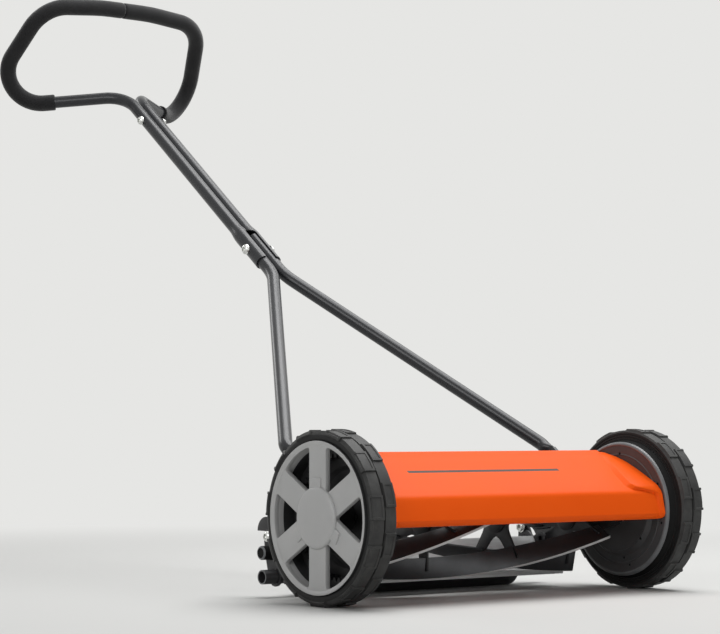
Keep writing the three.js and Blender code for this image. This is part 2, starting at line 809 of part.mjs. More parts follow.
function pinion() {
  const pitch = (gearModule * pinionTeeth) / 2;
  const outline = involuteOutline(
    pinionTeeth,
    pitch + pinionAddendumShare * gearModule,
    pitch - (ringAddendumShare + seatGap / gearModule) * gearModule,
    -gearBacklash,
    meshAngle,
  );
  const start = ringInnerFace - pinionOverhang;
  const end = ringInnerFace + ringFace + pinionOverhang;
  const cup = rod(ratchetCupRadius, start - ratchetCupLength, start, 0, 0, roundSides);
  const notches = [];
  for (let i = 0; i < ratchetTeeth; i++) {
    const a = (i / ratchetTeeth) * Math.PI * 2;
    notches.push(polar(ratchetTipRadius, a), polar(ratchetRootRadius, a));
    notches.push(polar((ratchetRootRadius + ratchetTipRadius) / 2, a + Math.PI / ratchetTeeth));
  }
  return cut(
    join(cup, plate(outline, start - cutOver, end)),
    plate(notches, start - ratchetCupLength - cutOver, start - ratchetCupLength + ratchetDepth),
    drill(journalRadius, start - ratchetCupLength - cutOver, end + cutOver, 0, 0),
  );
}

const pawlMiddle = ringInnerFace - pinionOverhang - ratchetCupLength + ratchetDepth / 2;

function pawl(reach = pawlReach, slack = 0) {
  const half = pawlThickness / 2 + slack;
  const width = pawlWidth / 2 + slack;
  const corners = [[-reach, -width], [reach, -width], [reach, width], [-reach, width]];
  const outline = corners.map(([y, z]) => new THREE.Vector2(y, z));
  return plate(outline, pawlMiddle - half, pawlMiddle + half);
}

// Side plate: the outline round every boss, with the holes and slots that its pieces pass through.
const shaftDirection = new THREE.Vector2(Math.cos(shaftSlope), Math.sin(shaftSlope));
const shaftSquare = new THREE.Vector2(-Math.sin(shaftSlope), Math.cos(shaftSlope));

function onShaft(along, square = 0) {
  return new THREE.Vector2(pivotY, pivotZ)
    .addScaledVector(shaftDirection, along - pivotAlong)
    .addScaledVector(shaftSquare, square);
}

const handlePivot = onShaft(pivotAlong);
const stopPin = onShaft(pivotAlong + stopPinAlong, -lugHalfWidth - stopPinRadius - seatGap);
const clampPin = polar(clampRise, clampAngle, sleeveRearward, sleeveHeight);

function sidePlate() {
  const body = plate(
    hullOfCircles([
      [0, axleHeight, plateAxleBoss],
      [reelRearward, reelHeight, plateReelBoss],
      [handlePivot.x, handlePivot.y, plateHandleBoss],
      [sleeveRearward, sleeveHeight, plateSleeveBoss],
      [plateTipRearward, plateTipHeight, plateTipRadius],
      [tieRodRearward, tieRodHeight, plateEarRadius],
      [coverEarRearward, coverEarHeight, plateEarRadius],
    ]),
    sidePlateInner,
    sidePlateOuter,
  );
  const hole = (r, y, z) => drill(r, sidePlateInner - cutOver, sidePlateOuter + cutOver, y, z);
  const slot = [];
  const slotWidth = clampRadius + seatGap;
  for (const side of [1, -1]) {
    for (let i = 0; i <= slotSteps; i++) {
      const share = side > 0 ? i / slotSteps : 1 - i / slotSteps;
      slot.push(polar(clampRise + side * slotWidth, clampAngle + clampTravel * share));
    }
    const end = polar(clampRise, clampAngle + (side > 0 ? clampTravel : 0));
    const heading = clampAngle + (side > 0 ? clampTravel : Math.PI);
    for (let i = 1; i < slotSteps; i++) {
      slot.push(polar(slotWidth, heading + (Math.PI * i) / slotSteps, end.x, end.y));
    }
  }
  const window = hullOfCircles([
    [plateCutRearward - plateCutSpread / 2, plateCutHeight + plateCutSpread / 2, plateCutRadius],
    [plateCutRearward + plateCutSpread, plateCutHeight, plateCutRadius],
    [plateCutRearward, plateCutHeight - plateCutSpread, plateCutRadius],
  ]);
  const stop = rod(stopPinRadius, sidePlateOuter - seatGap, lowerEndX + lugThickness, stopPin.x, stopPin.y);
  const slotCut = plate(slot, sidePlateInner - cutOver, sidePlateOuter + cutOver);
  return cut(
    join(body, stop),
    hole(axleNeckRadius, 0, axleHeight),
    hole(bearingRadius, reelRearward, reelHeight),
    hole(pivotBoltRadius, handlePivot.x, handlePivot.y),
    hole(sleeveRadius, sleeveRearward, sleeveHeight),
    hole(tieRodNeckRadius, tieRodRearward, tieRodHeight),
    hole(coverScrewRadius, coverEarRearward, coverEarHeight),
    hole(bedPivotRadius, ...bedPivot),
    plate(window, sidePlateInner - cutOver, sidePlateOuter + cutOver),
    slotCut.translate([0, sleeveRearward, sleeveHeight]),
  );
}

function axleStub() {
  const stub = turned(
    [
      [sidePlateInner - seatGap - axleHeadLength, 0],
      [sidePlateInner - seatGap - axleHeadLength, axleHeadRadius],
      [sidePlateInner - seatGap, axleHeadRadius],
      [sidePlateInner - seatGap, axleNeckRadius],
      [sidePlateOuter + seatGap, axleNeckRadius],
      [sidePlateOuter + seatGap, axleCollarRadius],
      [sidePlateOuter + seatGap + axleCollarLength, axleCollarRadius],
      [sidePlateOuter + seatGap + axleCollarLength, axleRadius],
      [axleEndFace, axleRadius],
      [axleEndFace, 0],
    ],
    0,
    axleHeight,
    roundSides,
  );
  const depth = screwShankLength + seatGap;
  return cut(stub, drill(screwShankRadius, axleEndFace - depth, axleEndFace + cutOver, 0, axleHeight));
}

function dustDisc() {
  const far = discInnerFace + discDishDepth;
  const disc = turned(
    [
      [discInnerFace, axleRadius + seatGap],
      [discInnerFace, discDishRadius],
      [far, discDishRadius + discDishRun],
      [far, discRadius],
      [far + discThickness, discRadius],
      [far + discThickness, discDishRadius + discDishRun],
      [discInnerFace + discThickness, discDishRadius],
      [discInnerFace + discThickness, axleRadius + seatGap],
      [discInnerFace, axleRadius + seatGap],
    ],
    0,
    axleHeight,
    discSides,
  );
  const holes = discHoleShares.map(([share, degrees]) => {
    const at = polar(discRadius * share, THREE.MathUtils.degToRad(degrees), 0, axleHeight);
    return rod(discHoleRadius, discInnerFace - cutOver, far + discThickness + cutOver, at.x, at.y, boreSides);
  });
  const shaftHole = rod(
    discShaftHole,
    discInnerFace - cutOver,
    far + discThickness + cutOver,
    reelRearward,
    reelHeight,
    roundSides,
  );
  return cut(disc, shaftHole, ...holes);
}

function reelBearing() {
  return turned(
    [
      [bearingInnerFace, journalRadius + seatGap],
      [bearingInnerFace, bearingRadius - bearingNoseTaper],
      [sidePlateInner - seatGap - bearingFlangeLength, bearingRadius],
      [sidePlateInner - seatGap - bearingFlangeLength, bearingFlangeRadius],
      [sidePlateInner - seatGap, bearingFlangeRadius],
      [sidePlateInner - seatGap, bearingRadius],
      [bearingOuterFace, bearingRadius],
      [bearingOuterFace, journalRadius + seatGap],
      [bearingInnerFace, journalRadius + seatGap],
    ],
    reelRearward,
    reelHeight,
    roundSides,
  );
}

// Reel: blades wound on the reel's cylinder, and star-shaped spiders that grip them.
function bladeRing(x, index, inner, outer, thickness) {
  const turn = (bladeTwist * (reelHalfLength - x)) / (2 * reelHalfLength);
  const angle = bladePhase + (index / bladeCount) * Math.PI * 2 + turn;
  const tip = polar(outer, angle);
  const lean = angle + Math.PI + bladeLean;
  const root = tip.clone().add(polar(outer - inner, lean));
  const across = polar(thickness / 2, lean + Math.PI / 2);
  const back = across.clone().negate();
  const centre = new THREE.Vector2(reelRearward, reelHeight);
  const edge = tip.clone().addScaledVector(polar(1, lean), thickness * 0.6);
  return [tip.clone().add(across), root.clone().add(across), root.clone().add(back), edge.add(back)].map(
    (p) => new THREE.Vector3(x, p.x + centre.x, p.y + centre.y),
  );
}

function blade(index, from = -reelHalfLength, to = reelHalfLength, slack = 0, steps = bladeSteps) {
  const rings = [];
  for (let i = 0; i <= steps; i++) {
    const x = from + ((to - from) * i) / steps;
    const inner = reelRadius - bladeWidth - slack;
    rings.push(bladeRing(x, index, inner, reelRadius + slack, bladeThickness + 2 * slack));
  }
  return loft(rings);
}

function spider(x) {
  const turn = (bladeTwist * (reelHalfLength - x)) / (2 * reelHalfLength);
  const outline = [];
  for (let i = 0; i < bladeCount; i++) {
    const angle = bladePhase + (i / bladeCount) * Math.PI * 2 + turn;
    const next = angle + Math.PI / bladeCount;
    const along = polar(1, angle);
    const side = polar(1, angle + Math.PI / 2);
    const corner = (r, half) => along.clone().multiplyScalar(r).addScaledVector(side, half);
    outline.push(corner(spiderWebRadius + spiderArmRoot / 4, -spiderArmRoot / 2));
    outline.push(corner(spiderArmReach, -spiderArmTip / 2));
    outline.push(corner(spiderArmReach, spiderArmTip / 2));
    outline.push(corner(spiderWebRadius + spiderArmRoot / 4, spiderArmRoot / 2));
    outline.push(polar(spiderWebRadius, next));
  }
  const star = plate(outline, x - spiderThickness / 2, x + spiderThickness / 2);
  const half = spiderThickness * 1.6;
  const boss = rod(spiderHubRadius, x - half, x + half, 0, 0);
  const bore = drill(reelShaftRadius, x - half - cutOver, x + half + cutOver, 0, 0);
  const reach = spiderThickness + cutOver;
  const slots = [];
  for (let i = 0; i < bladeCount; i++) slots.push(blade(i, x - reach, x + reach, seatGap, 2));
  const bored = cut(join(star, boss), bore);
  return cut(bored.translate([0, reelRearward, reelHeight]), ...slots);
}

function reelShaft() {
  const shoulder = bearingInnerFace - seatGap;
  const profile = [
    [-journalEnd, 0],
    [-journalEnd, journalRadius],
    [-shoulder, journalRadius],
    [-shoulder, reelShaftRadius],
    [shoulder, reelShaftRadius],
    [shoulder, journalRadius],
    [journalEnd, journalRadius],
    [journalEnd, 0],
  ];
  const bar = turned(profile, reelRearward, reelHeight);
  const slots = [];
  for (const side of [-1, 1]) {
    const tool = pawl(journalRadius + cutOver, seatGap).translate([0, reelRearward, reelHeight]);
    slots.push(side > 0 ? tool : tool.translate([-2 * pawlMiddle, 0, 0]));
    const groove = pipe(
      journalRadius + cutOver,
      journalRadius - clipGrooveDepth,
      clipFace - seatGap,
      clipFace + clipThickness + seatGap,
      reelRearward,
      reelHeight,
    );
    slots.push(side > 0 ? groove : groove.mirror([1, 0, 0]));
  }
  return cut(bar, ...slots);
}

const clipFace = ringInnerFace + ringFace + pinionOverhang + seatGap;

function shaftClip() {
  const bore = journalRadius - clipGrooveDepth + seatGap;
  const ring = pipe(clipRadius, bore, clipFace, clipFace + clipThickness, 0, 0);
  const mouth = plate(
    [
      new THREE.Vector2(-journalRadius * 0.6, 0),
      new THREE.Vector2(journalRadius * 0.6, 0),
      new THREE.Vector2(journalRadius * 0.6, clipRadius + cutOver),
      new THREE.Vector2(-journalRadius * 0.6, clipRadius + cutOver),
    ],
    clipFace - cutOver,
    clipFace + clipThickness + cutOver,
  );
  return cut(ring, mouth).translate([0, reelRearward, reelHeight]);
}

// Hood: one section repeated along X, flared into a raised rim at each end.
// Each row holds the section's point, the rim's point and how far in from the end the facet starts.
function coverRows() {
  const crest = new THREE.Vector2(coverCrestY, coverCrestZ);
  const crease = new THREE.Vector2(coverCreaseY, coverCreaseZ);
  const foot = new THREE.Vector2(coverFootY, coverFootZ);
  const faceRows = [0.06, 0.25, 0.5, 0.75, 0.97].map((share) => {
    const point = crest.clone().lerp(crease, share);
    const bulge = Math.sin(Math.PI * Math.min(1, share * 0.86)) ** 0.8;
    const rim = point.clone().add(new THREE.Vector2(-rimForward * share * 0.9, rimRise * bulge));
    return [point, rim, facetTopInset + (facetMidInset - facetTopInset) * Math.min(1, share * 1.5)];
  });
  const plain = (y, z, inset) => [new THREE.Vector2(y, z), new THREE.Vector2(y, z), inset];
  const forward = (p, share) => {
    const rim = new THREE.Vector2(p.x - rimForward * share, p.y + rimForward * share * 0.2);
    return [p, rim, facetFrontInset];
  };
  return [
    plain(coverRearHemY, coverRearHemZ, facetTopInset / 2),
    plain(coverRearY, coverRearZ, facetTopInset / 2),
    plain(coverCrestY + coverCornerRound, coverCrestZ, facetTopInset),
    ...faceRows,
    forward(crease.clone().lerp(foot, 0.06), 1),
    forward(foot, 0.6),
    forward(new THREE.Vector2(coverLipY, coverLipZ), 0.5),
    forward(new THREE.Vector2(coverHemY, coverHemZ), 0.3),
  ];
}

// The same outline moved inwards by a wall.
function inset(points, wall) {
  return points.map((p, i) => {
    const before = points[Math.max(i - 1, 0)];
    const after = points[Math.min(i + 1, points.length - 1)];
    const a = i > 0 ? p.clone().sub(before).normalize() : after.clone().sub(p).normalize();
    const b = i < points.length - 1 ? after.clone().sub(p).normalize() : a;
    const normal = new THREE.Vector2(-(a.y + b.y), a.x + b.x).normalize();
    const stretch = 1 / Math.max(0.5, new THREE.Vector2(-a.y, a.x).dot(normal));
    return p.clone().addScaledVector(normal, wall * stretch);
  });
}

function cover() {
  const rows = coverRows();
  const section = rows.map((row) => row[0]);
  const rim = rows.map((row) => row[1]);
  const ring = (points, starts, sign) => {
    const under = inset(points, coverThickness);
    const out = points.map((p, i) => new THREE.Vector3(sign * starts[i], p.x, p.y));
    const back = under.map((p, i) => new THREE.Vector3(sign * starts[i], p.x, p.y));
    return [...out, ...back.reverse()];
  };
  const ends = rows.map(() => coverEnd);
  const facets = rows.map((row) => coverEnd - row[2]);
  const shell = loft([
    ring(rim, ends, -1),
    ring(section, facets, -1),
    ring(section, facets, 1),
    ring(rim, ends, 1),
  ]);
  const webFace = sidePlateOuter + seatGap;
  const share = (row) => (webFace + coverWebThickness / 2 - coverEnd + row[2]) / row[2];
  const atWeb = rows.slice(1, -2).map((row) => row[0].clone().lerp(row[1], share(row)));
  const edge = inset(atWeb, coverThickness / 2);
  const axle = new THREE.Vector2(0, axleHeight);
  const low = edge.map((p) => p.clone().lerp(axle, coverWebShare)).reverse();
  const holes = [
    [tieRodRearward, tieRodHeight, tieRodNeckRadius],
    [coverEarRearward, coverEarHeight, coverScrewRadius],
  ];
  const webs = plate([...edge, ...low], webFace, webFace + coverWebThickness);
  const drilled = cut(
    webs,
    ...holes.map(([y, z, r]) => drill(r, webFace - cutOver, webFace + coverWebThickness + cutOver, y, z)),
  );
  return join(shell, drilled, drilled.mirror([1, 0, 0]));
}

// Bed bar: a folded sheet behind and under the reel, with an ear at each end on the bed pivot.
const knifeEdge = polar(reelRadius + knifeGap, knifeAngle, reelRearward, reelHeight);
const knifeAlong = polar(1, knifeSlope);
const knifeDown = polar(1, knifeSlope - Math.PI / 2);

function onKnife(along, down) {
  return knifeEdge.clone().addScaledVector(knifeAlong, along).addScaledVector(knifeDown, down);
}

const shelfDrop = knifeThickness + seatGap;
const bedKnee = polar(reelRadius + bedKneeClear, bedKneeAngle, reelRearward, reelHeight);
const bedTop = polar(reelRadius + bedTopClear, bedTopAngle, reelRearward, reelHeight);
const bedPivot = polar(reelRadius + bedPivotClear, bedPivotAngle, reelRearward, reelHeight);

function bedBarLine() {
  return [
    onKnife(bedShelfBackset, shelfDrop),
    onKnife(knifeDepth + bedShelfBackset, shelfDrop),
    bedKnee,
    bedTop,
  ];
}

function bedBar() {
  const face = bedBarLine();
  const under = inset(face, -bedBarThickness);
  const sheet = plate([...face, ...under.reverse()], -bedBarHalfLength, bedBarHalfLength);
  const ear = (from) =>
    plate(
      hullOfCircles([
        [...bedPivot, bedTabRadius],
        [bedKnee.x - bedBarThickness, bedKnee.y, bedBarThickness],
        [bedTop.x - bedBarThickness, bedTop.y - bedBarThickness, bedBarThickness],
      ]),
      from,
      from + bedTabThickness,
    );
  const tool = drill(
    bedPivotRadius,
    -bedBarHalfLength - bedTabThickness - cutOver,
    bedBarHalfLength + bedTabThickness + cutOver,
    ...bedPivot,
  );
  return cut(join(sheet, ear(-bedBarHalfLength), ear(bedBarHalfLength - bedTabThickness)), tool);
}

function bedKnife() {
  return plate(
    [
      onKnife(0, 0),
      onKnife(knifeDepth, 0),
      onKnife(knifeDepth, knifeThickness),
      onKnife(knifeThickness * 0.25, knifeThickness),
    ],
    -knifeHalfLength,
    knifeHalfLength,
  );
}

// Roller: a tube with two end discs, which turns on the axle tube between the arms.
function roller() {
  const bore = rollerTubeRadius + seatGap;
  const end = rollerHalfLength;
  const chamfer = rollerWall / 2;
  return turned(
    [
      [-end, bore],
      [-end, rollerRadius - chamfer],
      [-end + chamfer, rollerRadius],
      [end - chamfer, rollerRadius],
      [end, rollerRadius - chamfer],
      [end, bore],
      [end - rollerEndThickness, bore],
      [end - rollerEndThickness, rollerRadius - rollerWall],
      [-end + rollerEndThickness, rollerRadius - rollerWall],
      [-end + rollerEndThickness, bore],
      [-end, bore],
    ],
    rollerRearward,
    rollerRadius,
    roundSides,
  );
}

function rollerArm() {
  const clamp = [clampPin.x, clampPin.y];
  const outline = hullOfCircles([
    [sleeveRearward, sleeveHeight, armSleeveBoss],
    [rollerRearward, rollerRadius, armRollerBoss],
    [...clamp, armClampBoss],
  ]);
  const hole = (r, y, z) => drill(r, armInner - cutOver, armInner + armThickness + cutOver, y, z, roundSides);
  return cut(
    plate(outline, armInner, armInner + armThickness),
    hole(sleeveRadius, sleeveRearward, sleeveHeight),
    hole(rollerTubeRadius, rollerRearward, rollerRadius),
    hole(clampRadius, ...clamp),
  );
}

function clampBolt() {
  const near = armInner + armThickness + seatGap;
  const far = sidePlateInner - seatGap;
  const bar = bolt(clampRadius, clampHeadRadius, clampHeadLength, far, near, clampPin.x, clampPin.y);
  return join(bar, rod(clampHeadRadius, far - clampHeadLength, far, clampPin.x, clampPin.y, 6));
}

// Handle tubes. A point of the handle stands at x, along the shaft and square to it.
function handlePoint(x, along, square = 0) {
  const p = onShaft(along, square);
  return new THREE.Vector3(x, p.x, p.y);
}

function lowerTube() {
  const start = handlePoint(tubeSpacing, lowerTopAlong);
  const bend = handlePoint(tubeSpacing, lowerBendAlong);
  const turn = handlePoint(lowerEndX, pivotAlong + lugLength + lowerEndRun);
  const end = handlePoint(lowerEndX, pivotAlong + lugLength);
  const boreStart = handlePoint(tubeSpacing, lowerTopAlong + cutOver);
  const boreEnd = handlePoint(lowerEndX, pivotAlong + lugLength + lowerEndRun / 4);
  const radii = [lowerBendRadius, lowerEndBendRadius];
  const tube = bentRod(new BentLine([start, bend, turn, end], radii), tubeRadius);
  const boreLine = new BentLine([boreStart, bend, turn, boreEnd], radii);
  const bore = bentRod(boreLine, tubeRadius - tubeWall, boreSides);
  const oval = (along, halfX, halfV) =>
    Array.from({ length: tubeSides }, (_, i) => {
      const a = ((i + 0.5) / tubeSides) * Math.PI * 2;
      return handlePoint(lowerEndX + halfX * Math.cos(a), along, halfV * Math.sin(a));
    });
  const flat = loft([
    oval(pivotAlong + lugLength + lugTaper / 3, tubeRadius * 0.91, tubeRadius * 0.91),
    oval(pivotAlong + lugLength - lugTaper / 8, tubeRadius * 0.97, tubeRadius),
    oval(pivotAlong + lugLength - lugTaper * 0.5, (tubeRadius + lugThickness) * 0.42, lugHalfWidth * 0.88),
    oval(pivotAlong + lugLength - lugTaper * 0.9, lugThickness * 0.57, lugHalfWidth * 0.95),
  ]);
  const lug = plate(
    hullOfCircles([
      [handlePivot.x, handlePivot.y, lugHalfWidth],
      [...onShaft(pivotAlong + lugTaper * 0.3).toArray(), lugHalfWidth],
    ]),
    lowerEndX - lugThickness / 2,
    lowerEndX + lugThickness / 2,
  );
  const jointHole = drill(handleBoltRadius, 0, tubeSpacing * 2 + cutOver, ...onShaft(0));
  const pivotHole = drill(
    pivotBoltRadius,
    lowerEndX - lugThickness,
    lowerEndX + lugThickness,
    handlePivot.x,
    handlePivot.y,
  );
  return cut(join(cut(tube, bore), flat, lug), jointHole, pivotHole);
}

// Upper tube: shaft and half of the loop in one bend; its foot is opened into a shell round the lower tube.
function loopCorners(start) {
  const plane = upperBoltAlong + loopPlaneAlong;
  return [
    handlePoint(tubeSpacing, start),
    handlePoint(tubeSpacing, upperBoltAlong + loopTurnAlong),
    handlePoint(loopWide, plane, -loopDrop),
    handlePoint(loopTopWide, plane, loopTopRise),
    handlePoint(loopCrownRun, plane, loopCrownRise),
  ];
}

const loopRadii = [loopTurnRadius, loopLowRadius, loopHighRadius, loopCrownRadius];

function loopLine(start) {
  const corners = loopCorners(start);
  const other = corners.map((p) => p.clone().setX(-p.x)).reverse();
  return new BentLine([...corners, ...other], [...loopRadii, ...loopRadii.slice().reverse()]);
}

// The right half of that line, which ends short of the middle by a gap.
function halfLoopLine(start, gap) {
  const corners = loopCorners(start);
  const end = corners[corners.length - 1].clone().setX(gap);
  return new BentLine([...corners, end], loopRadii);
}

function handleLoop() {
  const begin = shellHigh + shellTaper;
  const tube = bentRod(loopLine(begin - cutOver), tubeRadius);
  const bore = bentRod(loopLine(begin - 2 * cutOver), tubeRadius - tubeWall, boreSides);
  const circle = (along, radius) =>
    Array.from({ length: roundSides }, (_, i) => {
      const a = ((i + 0.5) / roundSides) * Math.PI * 2;
      return handlePoint(tubeSpacing + radius * Math.cos(a), along, radius * Math.sin(a));
    });
  const inner = around(tubeRadius + seatGap, roundSides);
  const outer = inner + shellWall;
  const sleeve = loft([
    circle(begin, tubeRadius),
    circle(shellHigh, outer),
    circle(shellLow, outer),
  ]);
  const hollow = loft([
    circle(begin + cutOver, tubeRadius - tubeWall),
    circle(shellHigh + cutOver, inner),
    circle(shellLow - cutOver, inner),
  ]);
  const reach = outer + cutOver;
  const corner = (x, along, square) => handlePoint(x, along, square);
  const opening = loft([
    [
      corner(tubeSpacing, shellLow - cutOver, -reach),
      corner(tubeSpacing, shellLow - cutOver, reach),
      corner(tubeSpacing, shellHigh, reach),
      corner(tubeSpacing, shellHigh, -reach),
    ],
    [
      corner(tubeSpacing - reach, shellLow - cutOver, -reach),
      corner(tubeSpacing - reach, shellLow - cutOver, reach),
      corner(tubeSpacing - reach, shellHigh + shellTaper * 0.7, reach),
      corner(tubeSpacing - reach, shellHigh + shellTaper * 0.7, -reach),
    ],
  ]);
  const foot = cut(sleeve, hollow, opening);
  const top = onShaft(upperBoltAlong);
  const reachX = outer * 2 + tubeSpacing;
  return cut(
    join(cut(tube, bore), foot, foot.mirror([1, 0, 0])),
    drill(handleBoltRadius, -reachX, reachX, ...onShaft(0)),
    drill(handleBoltRadius, -reachX, reachX, top.x, top.y),
  );
}

function grip() {
  const before = upperBoltAlong + loopTurnAlong - shellHigh + gripStart;
  const outer = halfLoopLine(shellHigh, gripCrownGap).from(before);
  const bore = halfLoopLine(shellHigh, -cutOver).from(before - cutOver);
  const boreRadius = around(tubeRadius + seatGap, gripBoreSides);
  return cut(bentRod(outer, gripRadius), bentRod(bore, boreRadius, gripBoreSides));
}

function throughBolt(along, span) {
  const at = onShaft(along);
  const face = span + seatGap;
  const bar = bolt(handleBoltRadius, handleBoltHeadRadius, handleBoltHeadLength, face, -face, at.x, at.y);
  return join(bar, rod(handleBoltHeadRadius, face, face + handleBoltHeadLength, at.x, at.y, 6));
}

// Everything that one side has: built on +X, and mirrored for the other side.
function side(name) {
  const group = new THREE.Group();
  const add = (part, made, finish) => group.add(piece(part + "_" + name, made, finish));
  const wheel = new THREE.Group();
  wheel.position.set(0, 0, axleHeight);
  wheel.add(piece("hub_" + name, hub(), "hubGrey"));
  wheel.add(piece("tyre_" + name, tyre(), "rubber"));
  wheel.add(piece("hub_cap_" + name, hubCap(), "hubGrey"));
  wheel.add(piece("ring_gear_" + name, ringGear(), "blackPlastic"));
  group.add(wheel);
  const shaftEnd = new THREE.Group();
  shaftEnd.position.set(0, reelRearward, reelHeight);
  shaftEnd.add(piece("pinion_" + name, pinion(), "blackPlastic"));
  shaftEnd.add(piece("pawl_" + name, pawl(), "zinc"));
  group.add(shaftEnd);
  add("shaft_clip", shaftClip(), "zinc");
  add("side_plate", sidePlate(), "blackSteel");
  add("axle_stub", axleStub(), "zinc");
  add("wheel_retainer", retainer(), "zinc");
  add("dust_disc", dustDisc(), "blackPlastic");
  add("reel_bearing", reelBearing(), "blackPlastic");
  const sleeve = rod(sleeveRadius, sleeveInner, sleeveEnd, sleeveRearward, sleeveHeight, roundSides);
  add("arm_sleeve", sleeve, "blackPlastic");
  add("roller_arm", rollerArm(), "blackSteel");
  add("clamp_bolt", clampBolt(), "zinc");
  const bedFar = bedBarHalfLength - bedTabThickness - seatGap;
  const bedBolt = bolt(
    bedPivotRadius,
    bedBoltHeadRadius,
    bedBoltHeadLength,
    bedFar,
    sidePlateOuter + seatGap,
    ...bedPivot,
  );
  add("bed_bolt", bedBolt, "zinc");
  const coverFace = sidePlateOuter + 2 * seatGap + coverWebThickness;
  const screwFar = sidePlateInner - seatGap;
  const ear = [coverEarRearward, coverEarHeight];
  const coverScrew = join(
    bolt(coverScrewRadius, coverScrewHead, coverScrewHeadLength, screwFar, coverFace, ...ear),
    rod(coverScrewHead, screwFar - coverScrewHeadLength, screwFar, ...ear, 6),
  );
  add("cover_screw", coverScrew, "zinc");
  add("lower_tube", lowerTube(), "graphite");
  const pivotFace = lowerEndX + lugThickness / 2 + seatGap;
  const pivotFar = sidePlateInner - seatGap;
  const pivotBolt = join(
    bolt(pivotBoltRadius, pivotBoltHeadRadius, pivotBoltHeadLength, pivotFar, pivotFace, ...handlePivot),
    rod(pivotBoltHeadRadius, pivotFar - pivotBoltHeadLength, pivotFar, ...handlePivot, 6),
  );
  add("handle_pivot_bolt", pivotBolt, "zinc");
  add("grip", grip(), "foam");
  return group;
}

const mower = new THREE.Group();
mower.name = "reel_mower";
mower.add(side("right"));
const mirrored = side("left");
mirrored.scale.x = -1;
mower.add(mirrored);

mower.add(piece("cover", cover(), "orange"));
mower.add(piece("reel_shaft", reelShaft(), "bareSteel"));
spiderPlaceShares.forEach((share, i) => {
  mower.add(piece("spider_" + (i + 1), spider(share * reelHalfLength), "blackSteel"));
});
for (let i = 0; i < bladeCount; i++) mower.add(piece("blade_" + (i + 1), blade(i), "bladeSteel"));
mower.add(piece("bed_bar", bedBar(), "bareSteel"));
mower.add(piece("bed_knife", bedKnife(), "bladeSteel"));
mower.add(piece("roller", roller(), "blackPlastic"));
const rollerTube = pipe(
  rollerTubeRadius,
  rollerTubeBore,
  -rollerTubeEnd,
  rollerTubeEnd,
  rollerRearward,
  rollerRadius,
  roundSides,
);
mower.add(piece("roller_tube", rollerTube, "blackSteel"));

const tieFace = sidePlateOuter + 2 * seatGap + coverWebThickness;
const tieShoulder = sidePlateInner - seatGap;
const tieRod = turned(
  [
    [-tieFace - tieNutLength, 0],
    [-tieFace - tieNutLength, tieNutRadius],
    [-tieFace, tieNutRadius],
    [-tieFace, tieRodNeckRadius],
    [-tieShoulder, tieRodNeckRadius],
    [-tieShoulder, tieRodRadius],
    [tieShoulder, tieRodRadius],
    [tieShoulder, tieRodNeckRadius],
    [tieFace, tieRodNeckRadius],
    [tieFace, tieNutRadius],
    [tieFace + tieNutLength, tieNutRadius],
    [tieFace + tieNutLength, 0],
  ],
  tieRodRearward,
  tieRodHeight,
);
mower.add(piece("tie_rod", tieRod, "blackSteel"));

const shellOuter = tubeSpacing + tubeRadius + seatGap + shellWall;
mower.add(piece("lower_handle_bolt", throughBolt(0, shellOuter), "zinc"));
mower.add(piece("upper_handle_bolt", throughBolt(upperBoltAlong, tubeSpacing + tubeRadius), "zinc"));
mower.add(piece("handle_loop", handleLoop(), "graphite"));

// The origin is the middle of the footprint of the whole mower, on the ground.
mower.updateMatrixWorld(true);
const box = new THREE.Box3().setFromObject(mower, true);
const part = new THREE.Group();
mower.position.set(0, -(box.min.y + box.max.y) / 2, -box.min.z);
part.add(mower);

export default part;
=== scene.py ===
import bpy
import bmesh
import math
from mathutils import Matrix, Vector


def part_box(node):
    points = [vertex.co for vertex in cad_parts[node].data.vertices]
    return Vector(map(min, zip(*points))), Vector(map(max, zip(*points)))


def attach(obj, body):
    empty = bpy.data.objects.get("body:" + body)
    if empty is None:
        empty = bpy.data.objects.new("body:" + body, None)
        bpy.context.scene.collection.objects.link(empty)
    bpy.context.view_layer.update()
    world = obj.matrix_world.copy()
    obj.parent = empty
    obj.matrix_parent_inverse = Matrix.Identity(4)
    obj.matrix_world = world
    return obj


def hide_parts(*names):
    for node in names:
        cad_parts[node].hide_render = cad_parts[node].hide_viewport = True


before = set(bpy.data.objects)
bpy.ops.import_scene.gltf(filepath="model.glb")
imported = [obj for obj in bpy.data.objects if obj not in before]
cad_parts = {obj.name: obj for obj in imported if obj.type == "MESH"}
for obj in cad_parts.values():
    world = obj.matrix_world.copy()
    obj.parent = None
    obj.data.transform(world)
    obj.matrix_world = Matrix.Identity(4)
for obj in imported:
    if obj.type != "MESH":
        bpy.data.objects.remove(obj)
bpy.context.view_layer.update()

# Camera and studio: a pale sweep of paper under one broad soft light, seen from the photograph's place.
# Lengths are in millimetres about the wheel axle's foot, and placed() takes them to the frame's metres.
MM = 0.001
CAP_LOW, CAP_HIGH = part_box("hub_cap_left")
AXLE_Y = (CAP_LOW.y + CAP_HIGH.y) / 2
CAMERA_PLACE = (-1928.4, -2146.2, 210.3)
CAMERA_YAW = math.radians(38.67)
CAMERA_PITCH = math.radians(2.79)
CAMERA_LENS = 114.53
SENSOR_WIDTH = 36
PAPER = "#C8C8C6"
BACKGROUND = "#E6E6E4"
FADE_START = 0.75
FADE_END = 1.9
FLOOR_RADIUS = 30
ROOM_LIGHT = 0.12


def placed(x, y, z):
    return Vector((x * MM, y * MM + AXLE_Y, z * MM))


def colour(code):
    channels = [int(code[i:i + 2], 16) / 255 for i in (1, 3, 5)]
    return [c / 12.92 if c <= 0.04045 else ((c + 0.055) / 1.055) ** 2.4 for c in channels] + [1]


